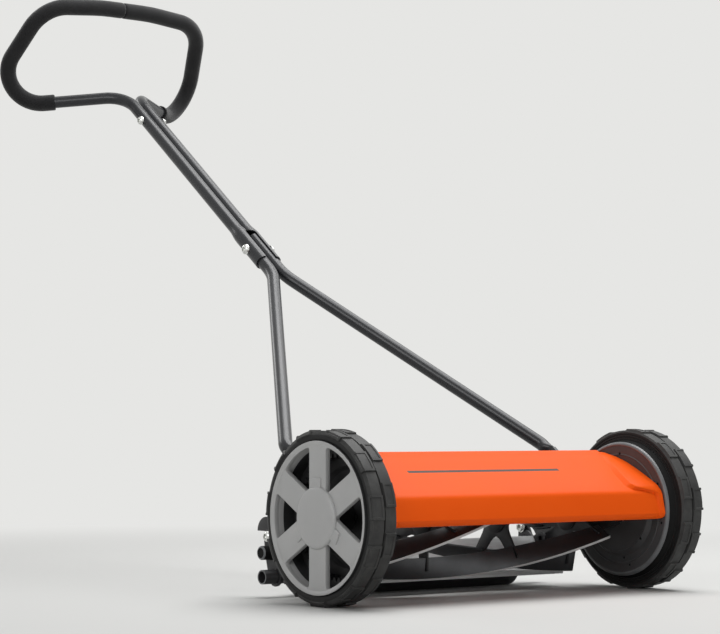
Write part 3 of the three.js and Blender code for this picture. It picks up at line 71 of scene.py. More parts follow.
def add(tree, kind, settings=None, links=None):
    """Adds one node: settings go to its own attributes or to input sockets, links to input sockets."""
    node = tree.nodes.new(kind)
    for key, value in (settings or {}).items():
        if isinstance(key, str) and hasattr(node, key):
            setattr(node, key, value)
        else:
            node.inputs[key].default_value = value
    for key, source in (links or {}).items():
        tree.links.new(source, node.inputs[key])
    return node


camera = bpy.data.objects.new("camera", bpy.data.cameras.new("camera"))
camera.data.lens = CAMERA_LENS
camera.data.sensor_width = SENSOR_WIDTH
camera.data.clip_end = 100
camera.location = placed(*CAMERA_PLACE)
camera.rotation_euler = (math.pi / 2 + CAMERA_PITCH, 0, -CAMERA_YAW)
bpy.context.scene.collection.objects.link(camera)
bpy.context.scene.camera = camera
bpy.context.scene.view_settings.view_transform = "Standard"

# Paper: matt white card. Near the mower it is lit and keeps the shadow; further off it runs into the
# pale room, which camera, mirror and glass rays see as one even tone with no horizon.
paper = bpy.data.materials.new("paper_floor")
paper.use_nodes = True
tree = paper.node_tree
tree.nodes.clear()
path = add(tree, "ShaderNodeLightPath")
looking = add(
    tree,
    "ShaderNodeMath",
    {"operation": "MAXIMUM"},
    {0: path.outputs["Is Camera Ray"], 1: path.outputs["Is Glossy Ray"]},
)
looking = add(
    tree,
    "ShaderNodeMath",
    {"operation": "MAXIMUM"},
    {0: looking.outputs[0], 1: path.outputs["Is Transmission Ray"]},
)
spot = add(tree, "ShaderNodeTexCoord").outputs["Object"]
away = add(tree, "ShaderNodeVectorMath", {"operation": "LENGTH"}, {0: spot})
fade = add(
    tree,
    "ShaderNodeMapRange",
    {"interpolation_type": "SMOOTHSTEP", "From Min": FADE_START, "From Max": FADE_END},
    {0: away.outputs["Value"]},
)
shown = add(tree, "ShaderNodeMath", {"operation": "MULTIPLY"}, {0: looking.outputs[0], 1: fade.outputs[0]})
card = add(tree, "ShaderNodeBsdfPrincipled", {"Base Color": colour(PAPER), "Roughness": 0.9})
glow = add(tree, "ShaderNodeEmission", {"Color": colour(BACKGROUND), "Strength": 1})
mixed = add(
    tree,
    "ShaderNodeMixShader",
    links={0: shown.outputs[0], 1: card.outputs[0], 2: glow.outputs[0]},
)
add(tree, "ShaderNodeOutputMaterial", links={"Surface": mixed.outputs[0]})

floor_bm = bmesh.new()
bmesh.ops.create_circle(floor_bm, cap_ends=True, segments=96, radius=FLOOR_RADIUS)
floor_mesh = bpy.data.meshes.new("paper_floor")
floor_bm.to_mesh(floor_mesh)
floor_bm.free()
floor_mesh.materials.append(paper)
floor = bpy.data.objects.new("paper_floor", floor_mesh)
bpy.context.scene.collection.objects.link(floor)

world = bpy.data.worlds.new("pale_room")
bpy.context.scene.world = world
world.use_nodes = True
tree = world.node_tree
tree.nodes.clear()
path = add(tree, "ShaderNodeLightPath")
looking = add(
    tree,
    "ShaderNodeMath",
    {"operation": "MAXIMUM"},
    {0: path.outputs["Is Camera Ray"], 1: path.outputs["Is Glossy Ray"]},
)
looking = add(
    tree,
    "ShaderNodeMath",
    {"operation": "MAXIMUM"},
    {0: looking.outputs[0], 1: path.outputs["Is Transmission Ray"]},
)
room = add(tree, "ShaderNodeBackground", {"Color": colour("#F4F6F8"), "Strength": ROOM_LIGHT})
pale = add(tree, "ShaderNodeBackground", {"Color": colour(BACKGROUND), "Strength": 1})
mixed = add(
    tree,
    "ShaderNodeMixShader",
    links={0: looking.outputs[0], 1: room.outputs[0], 2: pale.outputs[0]},
)
add(tree, "ShaderNodeOutputWorld", links={"Surface": mixed.outputs[0]})

# Each softbox: its name, place, the point it faces, its width and height in metres, and its power in watts.
SOFTBOXES = [
    ("overhead_softbox", (0.8, -0.35, 2.6), (0.5, -0.1, 0), 2.6, 2.2, 88),
    ("key_softbox", (-2.9, -1.6, 1.5), (0, 0, 0.2), 1.8, 1.4, 28),
    ("low_softbox", (-0.3, -2.4, 0.35), (0, 0, 0.06), 1.8, 0.5, 3),
    ("back_softbox", (2.0, 1.06, 2.15), (0, 0, 0.15), 1.3, 1.0, 4),
    ("strip_softbox", (0, 0.35, 2.6), (0, 0.35, 0), 0.3, 1.3, 5),
    ("rim_softbox", (-0.8, 2.8, 1.9), (0, 0, 0.4), 2.0, 0.8, 14),
]
for name, place, target, width, height, power in SOFTBOXES:
    lamp = bpy.data.lights.new(name, "AREA")
    lamp.shape = "RECTANGLE"
    lamp.size = width
    lamp.size_y = height
    lamp.energy = power
    lamp_object = bpy.data.objects.new(name, lamp)
    lamp_object.location = place
    lamp_object.rotation_euler = (Vector(target) - Vector(place)).to_track_quat("-Z", "Y").to_euler()
    bpy.context.scene.collection.objects.link(lamp_object)


# Wheel hubs: one injection-moulded polypropylene wheel each, a deep barrel behind a six-spoke disc.
# The mould leaves rounded window edges, three small ribs round the cap seat and a fine satin grain.
WHEEL_RADIUS = 105
HUB_FACE = 277.4
TYRE_FACE = 274.8
TYRE_WIDTH = 36.8
TYRE_SEAT = 91.1
RIM_INNER_FACE = 229.6
RIM_BORE = 83.8
RIM_EDGE = 85.8
SPOKE_DROP = 1.9
SPOKE_THICKNESS = 7
SPOKE_HALF = 16
WINDOW_RADIUS = 84.9
WINDOW_CORNER = 5
CAP_RADIUS = 37
RIB_HALF = 8
RIB_TOP = 47
RIB_HEIGHT = 2.4
BOSS_RADIUS = 18
BOSS_INNER_FACE = 231.5
AXLE_BORE = 8.4
GREY_FACE_START = 262
SIDES = {"left": -1, "right": 1}


def circle(y, z, radius, steps=32, start=0.0):
    turns = [start + 2 * math.pi * i / steps for i in range(steps)]
    return [(y + radius * math.cos(a), z + radius * math.sin(a)) for a in turns]


def turned(bm, profile, y=0, z=WHEEL_RADIUS, steps=96, closed=False):
    """Spins a profile of (x, radius) pairs about an axis along X."""
    verts = [bm.verts.new((x, y, z + r)) for x, r in profile]
    pairs = list(zip(verts, verts[1:])) + ([(verts[-1], verts[0])] if closed else [])
    edges = [bm.edges.new(pair) for pair in pairs]
    bmesh.ops.spin(
        bm,
        geom=verts + edges,
        cent=(0, y, z),
        axis=(1, 0, 0),
        angle=2 * math.pi,
        steps=steps,
        use_merge=True,
    )
    return bm


def plate(bm, outlines, from_x, to_x):
    """Flat stock: closed outlines of (y, z) points, the outside first and then its holes."""
    edges = []
    for outline in outlines:
        verts = [bm.verts.new((from_x, y, z)) for y, z in outline]
        edges += [bm.edges.new(pair) for pair in zip(verts, verts[1:] + verts[:1])]
    filled = bmesh.ops.triangle_fill(bm, edges=edges, use_beauty=True, use_dissolve=False)["geom"]
    faces = [f for f in filled if isinstance(f, bmesh.types.BMFace)]
    pushed = bmesh.ops.extrude_face_region(bm, geom=faces, use_keep_orig=True)["geom"]
    moved = [v for v in pushed if isinstance(v, bmesh.types.BMVert)]
    bmesh.ops.translate(bm, verts=moved, vec=(to_x - from_x, 0, 0))
    return bm


def soften(bm, width, segments=2, angle=35):
    """Rounds every edge that turns more than an angle, as paint, wear or a mould does."""
    bmesh.ops.remove_doubles(bm, verts=bm.verts, dist=0.002)
    bmesh.ops.recalc_face_normals(bm, faces=bm.faces)
    limit = math.radians(angle)
    sharp = [e for e in bm.edges if len(e.link_faces) == 2 and e.calc_face_angle(0) > limit]
    bmesh.ops.bevel(
        bm,
        geom=sharp,
        offset=width,
        offset_type="OFFSET",
        segments=segments,
        profile=0.5,
        affect="EDGES",
        material=-1,
        clamp_overlap=True,
    )
    return bm


def settle(bm, name, body, slot, finishes, nodes=(), smooth=38):
    """Turns millimetres into the frame's metres, makes the piece, ties it to its body and hides the CAD nodes it
    stands for.
    """
    bmesh.ops.remove_doubles(bm, verts=bm.verts, dist=0.002)
    bmesh.ops.recalc_face_normals(bm, faces=bm.faces)
    bmesh.ops.transform(bm, matrix=Matrix.Translation((0, AXLE_Y, 0)) @ Matrix.Scale(MM, 4), verts=bm.verts)
    mesh = bpy.data.meshes.new(name)
    bm.to_mesh(mesh)
    bm.free()
    mesh.shade_smooth()
    mesh.set_sharp_from_angle(angle=math.radians(smooth))
    for finish in finishes:
        mesh.materials.append(finish)
    piece = bpy.data.objects.new(name, mesh)
    bpy.context.scene.collection.objects.link(piece)
    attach(piece, body)
    if nodes:
        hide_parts(*nodes)
    return piece


def mirrored(bm, side):
    """A piece built on the right, at +X, turned into its left-hand partner."""
    if side < 0:
        bmesh.ops.transform(bm, matrix=Matrix.Scale(-1, 4, (1, 0, 0)), verts=bm.verts)
        bmesh.ops.reverse_faces(bm, faces=bm.faces)
    return bm


def new_finish(name, **settings):
    """A material with one principled shader; returns it, its tree, the shader and the object coordinates."""
    material = bpy.data.materials.new(name)
    material.use_nodes = True
    tree = material.node_tree
    tree.nodes.clear()
    values = {key.replace("_", " ").title().replace("Ior", "IOR"): value for key, value in settings.items()}
    shader = add(tree, "ShaderNodeBsdfPrincipled", values)
    add(tree, "ShaderNodeOutputMaterial", links={"Surface": shader.outputs[0]})
    place = add(tree, "ShaderNodeTexCoord").outputs["Object"]
    return material, tree, shader, place


def every(size):
    """The scale of a pattern whose grains, specks or clouds are a size in millimetres apart."""
    return 1 / (size * MM)


def window(angle):
    """One window between two spokes: an arc under the rim and two straight sides, corners rounded."""
    half_pitch = math.pi / 6
    spread = half_pitch - math.asin(SPOKE_HALF / WINDOW_RADIUS)
    apex = SPOKE_HALF / math.sin(half_pitch)
    first = (WINDOW_RADIUS * math.cos(angle - spread), WINDOW_RADIUS * math.sin(angle - spread))
    last = (WINDOW_RADIUS * math.cos(angle + spread), WINDOW_RADIUS * math.sin(angle + spread))
    point = (apex * math.cos(angle), apex * math.sin(angle))
    trim = WINDOW_CORNER / WINDOW_RADIUS
    arc = [angle - spread + trim + (2 * spread - 2 * trim) * i / 14 for i in range(15)]
    outline = [(WINDOW_RADIUS * math.cos(a), WINDOW_RADIUS * math.sin(a)) for a in arc]

    def corner(before, at, after):
        at = Vector(at)
        a = at + (Vector(before) - at).normalized() * WINDOW_CORNER
        b = at + (Vector(after) - at).normalized() * WINDOW_CORNER
        for i in range(5):
            t = i / 4
            yield tuple(a * (1 - t) ** 2 + at * 2 * t * (1 - t) + b * t ** 2)

    outline += list(corner(outline[-1], last, point))[1:]
    outline += corner(last, point, first)
    outline += list(corner(point, first, outline[0]))[:-1]
    return [(y, z + WHEEL_RADIUS) for y, z in outline]


# Moulded polypropylene: satin grey, fine spark-eroded grain, slight flow clouding, scuffed a little.
hub_plastic, tree, shader, place = new_finish(
    "moulded_grey_polypropylene",
    roughness=0.42,
    base_color=colour("#B2B2B2"),
    specular_ior_level=0.5,
)
cloud = add(tree, "ShaderNodeTexNoise", {"Scale": every(42), "Detail": 4}, {"Vector": place})
tint = add(tree, "ShaderNodeMix", {"data_type": "RGBA", 6: colour("#AAAAAA"), 7: colour("#BABAB9")}, {0: cloud.outputs[0]})
tree.links.new(tint.outputs[2], shader.inputs["Base Color"])
grain = add(tree, "ShaderNodeTexNoise", {"Scale": every(0.4), "Detail": 2}, {"Vector": place})
rough = add(tree, "ShaderNodeMapRange", {"To Min": 0.36, "To Max": 0.5}, {0: cloud.outputs[0]})
tree.links.new(rough.outputs[0], shader.inputs["Roughness"])
bump = add(tree, "ShaderNodeBump", {"Strength": 0.12, "Distance": 0.0002}, {"Height": grain.outputs[0]})
tree.links.new(bump.outputs[0], shader.inputs["Normal"])

# Near-black nylon: painted shade in the gap between the hub's barrel shoulder and the tyre, and on the floors of the
# disc's bores; the pivot sleeves take it too.
dark_nylon_and_shade, tree, shader, place = new_finish(
    "near_black_nylon_and_painted_shade",
    roughness=0.7,
    base_color=colour("#0E0E0E"),
    specular_ior_level=0.15,
)
film = add(tree, "ShaderNodeTexNoise", {"Scale": every(17), "Detail": 3}, {"Vector": place})
tint = add(
    tree,
    "ShaderNodeMix",
    {"data_type": "RGBA", 6: colour("#0B0B0B"), 7: colour("#161616")},
    {0: film.outputs[0]},
)
tree.links.new(tint.outputs[2], shader.inputs["Base Color"])

# Moulded black nylon: the barrel behind the grey face, satin with a fine grain and a little clouding.
black_plastic, tree, shader, place = new_finish(
    "moulded_black_nylon",
    roughness=0.4,
    base_color=colour("#262627"),
    specular_ior_level=0.4,
)
cloud = add(tree, "ShaderNodeTexNoise", {"Scale": every(33), "Detail": 4}, {"Vector": place})
tint = add(tree, "ShaderNodeMix", {"data_type": "RGBA", 6: colour("#242425"), 7: colour("#363637")}, {0: cloud.outputs[0]})
tree.links.new(tint.outputs[2], shader.inputs["Base Color"])
rough = add(tree, "ShaderNodeMapRange", {"To Min": 0.3, "To Max": 0.52}, {0: cloud.outputs[0]})
tree.links.new(rough.outputs[0], shader.inputs["Roughness"])
grain = add(tree, "ShaderNodeTexNoise", {"Scale": every(0.5), "Detail": 2}, {"Vector": place})
bump = add(tree, "ShaderNodeBump", {"Strength": 0.1, "Distance": 0.0002}, {"Height": grain.outputs[0]})
tree.links.new(bump.outputs[0], shader.inputs["Normal"])

for side_name, side in SIDES.items():
    hub = bmesh.new()
    face = HUB_FACE - SPOKE_DROP
    tyre_inner = TYRE_FACE - TYRE_WIDTH
    turned(
        hub,
        [
            (RIM_INNER_FACE, RIM_BORE),
            (RIM_INNER_FACE, RIM_EDGE),
            (tyre_inner - 0.3, TYRE_SEAT - 1.2),
            (tyre_inner - 0.3, TYRE_SEAT),
            (HUB_FACE, TYRE_SEAT),
            (HUB_FACE, TYRE_SEAT - 2.2),
            (face, WINDOW_RADIUS + 1.2),
            (face - SPOKE_THICKNESS, WINDOW_RADIUS),
            (face - SPOKE_THICKNESS - 6, RIM_BORE),
        ],
        steps=144,
        closed=True,
    )
    soften(hub, 0.5, angle=50)
    disc = bmesh.new()
    outline = circle(0, WHEEL_RADIUS, WINDOW_RADIUS + 2, 96)
    plate(disc, [outline] + [window(i * math.pi / 3) for i in range(6)], face - SPOKE_THICKNESS, face)
    soften(disc, 0.8, angle=50)
    boss = bmesh.new()
    turned(boss, [(BOSS_INNER_FACE, AXLE_BORE), (BOSS_INNER_FACE, BOSS_RADIUS), (face - 1, BOSS_RADIUS), (face - 1, AXLE_BORE)], steps=48, closed=True)
    ribs = []
    for turn in (0, 2 * math.pi / 3, -2 * math.pi / 3):
        rib = bmesh.new()
        corners = [(-RIB_HALF, CAP_RADIUS - 2), (RIB_HALF, CAP_RADIUS - 2), (RIB_HALF, RIB_TOP), (-RIB_HALF, RIB_TOP)]
        plate(rib, [corners], face - 1, face + RIB_HEIGHT)
        soften(rib, 1.1, 3)
        bmesh.ops.rotate(rib, verts=rib.verts, cent=(0, 0, 0), matrix=Matrix.Rotation(turn, 3, "X"))
        bmesh.ops.translate(rib, verts=rib.verts, vec=(0, 0, WHEEL_RADIUS))
        ribs.append(rib)
    for part in [disc, boss, *ribs]:
        scrap = bpy.data.meshes.new("scrap")
        part.to_mesh(scrap)
        hub.from_mesh(scrap)
        part.free()
        bpy.data.meshes.remove(scrap)
    # The grey face and the rim's inboard lip take the grey plastic, the lip's pale ring being a painted highlight;
    # the barrel between takes black nylon, and its shoulder in the gap under the tyre takes the near-black finish as
    # painted shade.
    for facet in hub.faces:
        spot = facet.calc_center_median()
        reach = math.hypot(spot.y, spot.z - WHEEL_RADIUS)
        lip = spot.x < RIM_INNER_FACE + 0.6 and reach > RIM_BORE - 0.3
        facet.material_index = 0 if lip or spot.x > GREY_FACE_START else 1
        if spot.x < TYRE_FACE - TYRE_WIDTH and reach > RIM_EDGE - 0.2:
            facet.material_index = 2
    settle(
        mirrored(hub, side),
        "hub_moulding_" + side_name,
        "wheel_" + side_name,
        "hub_plastic",
        [hub_plastic, black_plastic, dark_nylon_and_shade],
        ["hub_" + side_name],
    )

# Tyres: solid rubber bands pressed over the hubs, with two staggered rows of raised, pocketed blocks.
# Moulded rubber is dull and nearly black on the sidewall, and scuffed to a dusty grey on the tread.
TREAD_BLOCKS = 22
TREAD_RISE = 2
TREAD_GROOVE = 2.4
BLOCK_STEPS = 8
SHOULDER = 2.2

tyre_rubber, tree, shader, place = new_finish(
    "moulded_tread_rubber",
    roughness=0.6,
    base_color=colour("#2A2A2A"),
    specular_ior_level=0.4,
)
dust = add(tree, "ShaderNodeTexNoise", {"Scale": every(17), "Detail": 6, "Roughness": 0.62}, {"Vector": place})
worn = add(tree, "ShaderNodeValToRGB", links={0: dust.outputs[0]})
worn.color_ramp.elements[0].position = 0.35
worn.color_ramp.elements[0].color = colour("#222222")
worn.color_ramp.elements[1].position = 0.72
worn.color_ramp.elements[1].color = colour("#383837")
tree.links.new(worn.outputs[0], shader.inputs["Base Color"])
grit = add(tree, "ShaderNodeTexNoise", {"Scale": every(1.1), "Detail": 3}, {"Vector": place})
bump = add(tree, "ShaderNodeBump", {"Strength": 0.3, "Distance": 0.0004}, {"Height": grit.outputs[0]})
tree.links.new(bump.outputs[0], shader.inputs["Normal"])

wall_rubber, tree, shader, place = new_finish(
    "moulded_sidewall_rubber",
    roughness=0.55,
    base_color=colour("#161616"),
    specular_ior_level=0.25,
)
bloom = add(tree, "ShaderNodeTexNoise", {"Scale": every(25), "Detail": 3}, {"Vector": place})
tint = add(tree, "ShaderNodeMix", {"data_type": "RGBA", 6: colour("#121212"), 7: colour("#1C1C1C")}, {0: bloom.outputs[0]})
tree.links.new(tint.outputs[2], shader.inputs["Base Color"])
rough = add(tree, "ShaderNodeMapRange", {"To Min": 0.45, "To Max": 0.65}, {0: bloom.outputs[0]})
tree.links.new(rough.outputs[0], shader.inputs["Roughness"])

for side_name, side in SIDES.items():
    tyre = bmesh.new()
    inner = TYRE_FACE - TYRE_WIDTH
    middle = (TYRE_FACE + inner) / 2
    low = WHEEL_RADIUS - TREAD_RISE
    turned(
        tyre,
        [
            (TYRE_FACE - 0.8, TYRE_SEAT + 0.3),
            (TYRE_FACE - 0.2, TYRE_SEAT + 1.4),
            (TYRE_FACE, 94.5),
            (TYRE_FACE, 98.4),
            (TYRE_FACE - SHOULDER, low),
            (middle + TREAD_GROOVE / 2, low),
            (middle + TREAD_GROOVE / 4, low - 2.6),
            (middle - TREAD_GROOVE / 4, low - 2.6),
            (middle - TREAD_GROOVE / 2, low),
            (inner + 1.4, low),
            (inner, 100.6),
            (inner, 98.2),
            (inner + 0.9, 97.8),
            (inner + 0.9, 97.2),
            (inner, 96.8),
            (inner, 94.9),
            (inner + 0.9, 94.5),
            (inner + 0.9, 93.9),
            (inner, 93.5),
            (inner, TYRE_SEAT + 0.3),
        ],
        steps=TREAD_BLOCKS * BLOCK_STEPS,
        closed=True,
    )
    bmesh.ops.remove_doubles(tyre, verts=tyre.verts, dist=0.002)
    bmesh.ops.recalc_face_normals(tyre, faces=tyre.faces)
    pitch = 2 * math.pi / TREAD_BLOCKS
    blocks = {}
    for face in tyre.faces:
        centre = face.calc_center_median()
        radius = math.hypot(centre.y, centre.z - WHEEL_RADIUS)
        angle = math.atan2(centre.z - WHEEL_RADIUS, centre.y) + 2 * math.pi
        face.material_index = 0 if radius > low - 3 else 1
        if radius < 98.5 or (radius < low - 1 and centre.x < TYRE_FACE - SHOULDER):
            continue
        outer_row = centre.x > middle + TREAD_GROOVE / 2
        if not outer_row and centre.x > middle - TREAD_GROOVE / 2:
            continue
        block = math.floor(angle / pitch + (0 if outer_row else 0.5)) % TREAD_BLOCKS
        if block % 2 == 0:
            blocks.setdefault((outer_row, block), []).append(face)
    for faces in blocks.values():
        bmesh.ops.inset_region(tyre, faces=faces, thickness=0.5, depth=TREAD_RISE, use_even_offset=True, use_boundary=True)
        bmesh.ops.inset_region(tyre, faces=faces, thickness=2.6, depth=0, use_even_offset=True, use_boundary=True)
        bmesh.ops.inset_region(tyre, faces=faces, thickness=0.5, depth=-0.9, use_even_offset=True, use_boundary=True)
    settle(
        mirrored(tyre, side),
        "tyre_band_" + side_name,
        "wheel_" + side_name,
        "tread_rubber",
        [tyre_rubber, wall_rubber],
        ["tyre_" + side_name],
        smooth=28,
    )

# Hub caps: plain domed snap-in caps of the hub's own plastic, with a soft turned-down edge.
for side_name, side in SIDES.items():
    cap = bmesh.new()
    face = HUB_FACE - SPOKE_DROP + 0.3
    turned(
        cap,
        [
            (face - 2.4, 0),
            (face - 2.4, 12.6),
            (face, 12.6),
            (face, CAP_RADIUS),
            (face + 1.6, CAP_RADIUS - 0.3),
            (face + 2.9, CAP_RADIUS - 1.2),
            (face + 3.8, CAP_RADIUS - 2.8),
            (face + 4.4, CAP_RADIUS - 5.4),
            (face + 4.7, CAP_RADIUS - 9),
            (face + 4.9, CAP_RADIUS - 16),
            (face + 5, 10),
            (face + 5, 0),
        ],
        steps=96,
    )
    settle(
        mirrored(cap, side),
        "hub_cap_dome_" + side_name,
        "wheel_" + side_name,
        "hub_plastic",
        [hub_plastic],
        ["hub_cap_" + side_name],
        smooth=60,
    )

# Dust discs: dished black plastic discs that close the wheels, with a rolled rim bead and small bores.
# They are moulded satin black, with a painted highlight on the rolled rim.
DISC_RADIUS = 83
DISC_FACE = 221
DISC_DISH = 5
DISH_RADIUS = 57.5
DISC_WALL = 2
BEAD_RADIUS = 71
BEAD_RISE = 0.7
DISC_EDGE = 87.8
BORE_RADIUS = 2
BORE_DEPTH = 1.5
SHAFT_HOLE = 18.6
REEL_Y = 59.8
REEL_Z = 95.1
# Each small bore: its radius as a share of the disc's, and its angle in degrees from the back upwards.
BORE_PLACES = [(0.87, 91), (0.935, 154), (0.935, 192), (0.68, 221), (0.77, 263), (0.9, 256)]


def polar(radius, angle, y=0.0, z=0.0):
    return (y + radius * math.cos(angle), z + radius * math.sin(angle))


# Filled black nylon, a shade greyer than the barrel: dusty, satin, with a soft cloudy sheen.
disc_plastic, tree, shader, place = new_finish(
    "dusty_filled_nylon",
    roughness=0.45,
    base_color=colour("#333334"),
    specular_ior_level=0.35,
)
cloud = add(tree, "ShaderNodeTexNoise", {"Scale": every(45), "Detail": 5}, {"Vector": place})
tint = add(
    tree,
    "ShaderNodeMix",
    {"data_type": "RGBA", 6: colour("#363637"), 7: colour("#4E4E4F")},
    {0: cloud.outputs[0]},
)
tree.links.new(tint.outputs[2], shader.inputs["Base Color"])
rough = add(tree, "ShaderNodeMapRange", {"To Min": 0.36, "To Max": 0.55}, {0: cloud.outputs[0]})
tree.links.new(rough.outputs[0], shader.inputs["Roughness"])


# The rolled rim of the disc: the same nylon painted paler as a highlight, and smoother.
pale_rim_painted_highlight, tree, shader, place = new_finish(
    "nylon_rim_painted_highlight",
    roughness=0.36,
    base_color=colour("#5C5E60"),
    specular_ior_level=0.5,
)
highlight_cloud = add(tree, "ShaderNodeTexNoise", {"Scale": every(20), "Detail": 5}, {"Vector": place})
tint = add(
    tree,
    "ShaderNodeMix",
    {"data_type": "RGBA", 6: colour("#505254"), 7: colour("#727476")},
    {0: highlight_cloud.outputs[0]},
)
tree.links.new(tint.outputs[2], shader.inputs["Base Color"])


def cut_with(piece_mesh, tools):
    """Cuts tool meshes from a mesh, all in millimetres, and returns the result as a bmesh."""
    block = bpy.data.objects.new("blank", bpy.data.meshes.new("blank"))
    piece_mesh.to_mesh(block.data)
    piece_mesh.free()
    tool = bpy.data.objects.new("tool", bpy.data.meshes.new("tool"))
    tools.to_mesh(tool.data)
    tools.free()
    for thing in (block, tool):
        bpy.context.scene.collection.objects.link(thing)
    carve = block.modifiers.new("carve", "BOOLEAN")
    carve.operation = "DIFFERENCE"
    carve.solver = "EXACT"
    carve.object = tool
    depsgraph = bpy.context.evaluated_depsgraph_get()
    result = bmesh.new()
    result.from_mesh(block.evaluated_get(depsgraph).to_mesh())
    for thing in (block, tool):
        data = thing.data
        bpy.data.objects.remove(thing)
        bpy.data.meshes.remove(data)
    return result


for side_name, side in SIDES.items():
    disc = bmesh.new()
    far = DISC_FACE + DISC_DISH
    turned(
        disc,
        [
            (DISC_FACE, AXLE_BORE),
            (DISC_FACE, DISH_RADIUS - 3.2),
            (DISC_FACE - 0.7, DISH_RADIUS - 2.4),
            (DISC_FACE - 0.7, DISH_RADIUS - 1.2),
            (DISC_FACE, DISH_RADIUS),
            (far, DISH_RADIUS + 4),
            (far, BEAD_RADIUS - 1.4),
            (far - BEAD_RISE, BEAD_RADIUS - 0.5),
            (far - BEAD_RISE, BEAD_RADIUS + 0.5),
            (far, BEAD_RADIUS + 1.4),
            (far, DISC_EDGE - 5.4),
            (far - 0.6, DISC_EDGE - 4.4),
            (far - 0.8, DISC_EDGE - 3.2),
            (far - 0.4, DISC_EDGE - 2),
            (far + 0.8, DISC_EDGE - 0.8),
            (far + 2.2, DISC_EDGE - 0.1),
            (far + 3.1, DISC_EDGE),
            (far + 3.2, DISC_EDGE - 0.6),
            (far + 2.4, DISC_EDGE - 1.8),
            (far + DISC_WALL, DISC_RADIUS + 1),
            (far + DISC_WALL, DISH_RADIUS + 4),
            (DISC_FACE + DISC_WALL, DISH_RADIUS),
            (DISC_FACE + DISC_WALL, AXLE_BORE),
        ],
        steps=128,
        closed=True,
    )
    bmesh.ops.remove_doubles(disc, verts=disc.verts, dist=0.002)
    bmesh.ops.recalc_face_normals(disc, faces=disc.faces)
    bores = bmesh.new()
    for share, turn in BORE_PLACES:
        reach = DISC_RADIUS * share
        skin = far if reach > DISH_RADIUS else DISC_FACE
        at = polar(reach, math.radians(turn), 0, WHEEL_RADIUS)
        plate(bores, [circle(*at, BORE_RADIUS, 16)], DISC_FACE - 4, skin + BORE_DEPTH)
    plate(bores, [circle(REEL_Y, REEL_Z, SHAFT_HOLE, 48)], DISC_FACE - 4, far + DISC_WALL + 2)
    bmesh.ops.recalc_face_normals(bores, faces=bores.faces)
    disc = cut_with(disc, bores)
    # The floors of the blind bores take the near-black finish as painted shade, and the outer rim takes the pale
    # finish as a painted highlight.
    for facet in disc.faces:
        spot = facet.calc_center_median()
        floors = (DISC_FACE + BORE_DEPTH, far + BORE_DEPTH)
        facet.material_index = 1 if min(abs(spot.x - floor_x) for floor_x in floors) < 0.1 else 0
        if math.hypot(spot.y, spot.z - WHEEL_RADIUS) > DISC_EDGE - 4:
            facet.material_index = 2
    settle(
        mirrored(disc, side),
        "dust_shield_" + side_name,
        "frame",
        "black_plastic",
        [disc_plastic, dark_nylon_and_shade, pale_rim_painted_highlight],
        ["dust_disc_" + side_name],
        smooth=30,
    )

# Hood: one pressed steel sheet, powder coated orange, with flared facets at both ends, a soft crease
# and an in-turned lip. Inside each end a welded web carries it on the tie rod and one screw.
HOOD_END = 225
HOOD_WALL = 1.8
CREST = (22, 182)
CREASE = (-72, 128.5)
FOOT = (-80.5, 101.5)
ROLL = (-79.4, 97.4)
LIP = (-75.4, 94.5)
HEM = (-70, 93.8)
REAR = (61, 179.5)
REAR_HEM = (66.5, 176)
RIM_FORWARD = 6.5
FACET_TOP = 19
FACET_FRONT = 6.5
# Rows down the main face: the share of the way to the crease, how far the flared rim stands above the
# face there, and how far in from the end the flare starts.
FLARE_ROWS = [
    (0.0, -4, 18),
    (0.06, -2.3, 19.5),
    (0.15, 0.4, 22),
    (0.25, 2.5, 27),
    (0.375, 4.6, 32),
    (0.5, 5.5, 37),
    (0.625, 5.9, 41),
    (0.75, 6, 44),
    (0.86, 5.7, 45.5),
    (0.92, 5.2, 42),
    (0.94, 4.5, 36),
]
CREASE_TRIM = 4.6
CREASE_STEPS = 4
CREASE_INSET = 20
BAND_WIDTH = 5.5
BAND_LIFT = 0.7
FLARE_SHARES = {-1: 0.4, 1: 1}
WEB_FACE = 215.3
WEB_WALL = 2
WEB_SHARE = 0.56
TIE = (-40, 121)
EAR = (8, 150)
STRIPE_START = -153
STRIPE_END = 97
STRIPE_Y = -20
STRIPE_HALF = 2.2

# Powder coat: a smooth, half-glossy orange film with faint orange peel and a clear top.
orange_paint, tree, shader, place = new_finish(
    "orange_powder_coat",
    base_color=colour("#EE5A14"),
    roughness=0.36,
    specular_ior_level=0.045,
)
peel = add(tree, "ShaderNodeTexNoise", {"Scale": every(2.4), "Detail": 2}, {"Vector": place})
bump = add(tree, "ShaderNodeBump", {"Strength": 0.05, "Distance": 0.0003}, {"Height": peel.outputs[0]})
tree.links.new(bump.outputs[0], shader.inputs["Normal"])
haze = add(tree, "ShaderNodeTexNoise", {"Scale": every(110), "Detail": 5}, {"Vector": place})
rough = add(tree, "ShaderNodeMapRange", {"To Min": 0.32, "To Max": 0.44}, {0: haze.outputs[0]})
tree.links.new(rough.outputs[0], shader.inputs["Roughness"])
tint = add(tree, "ShaderNodeMix", {"data_type": "RGBA", 6: colour("#EC5510"), 7: colour("#F25E18")}, {0: haze.outputs[0]})

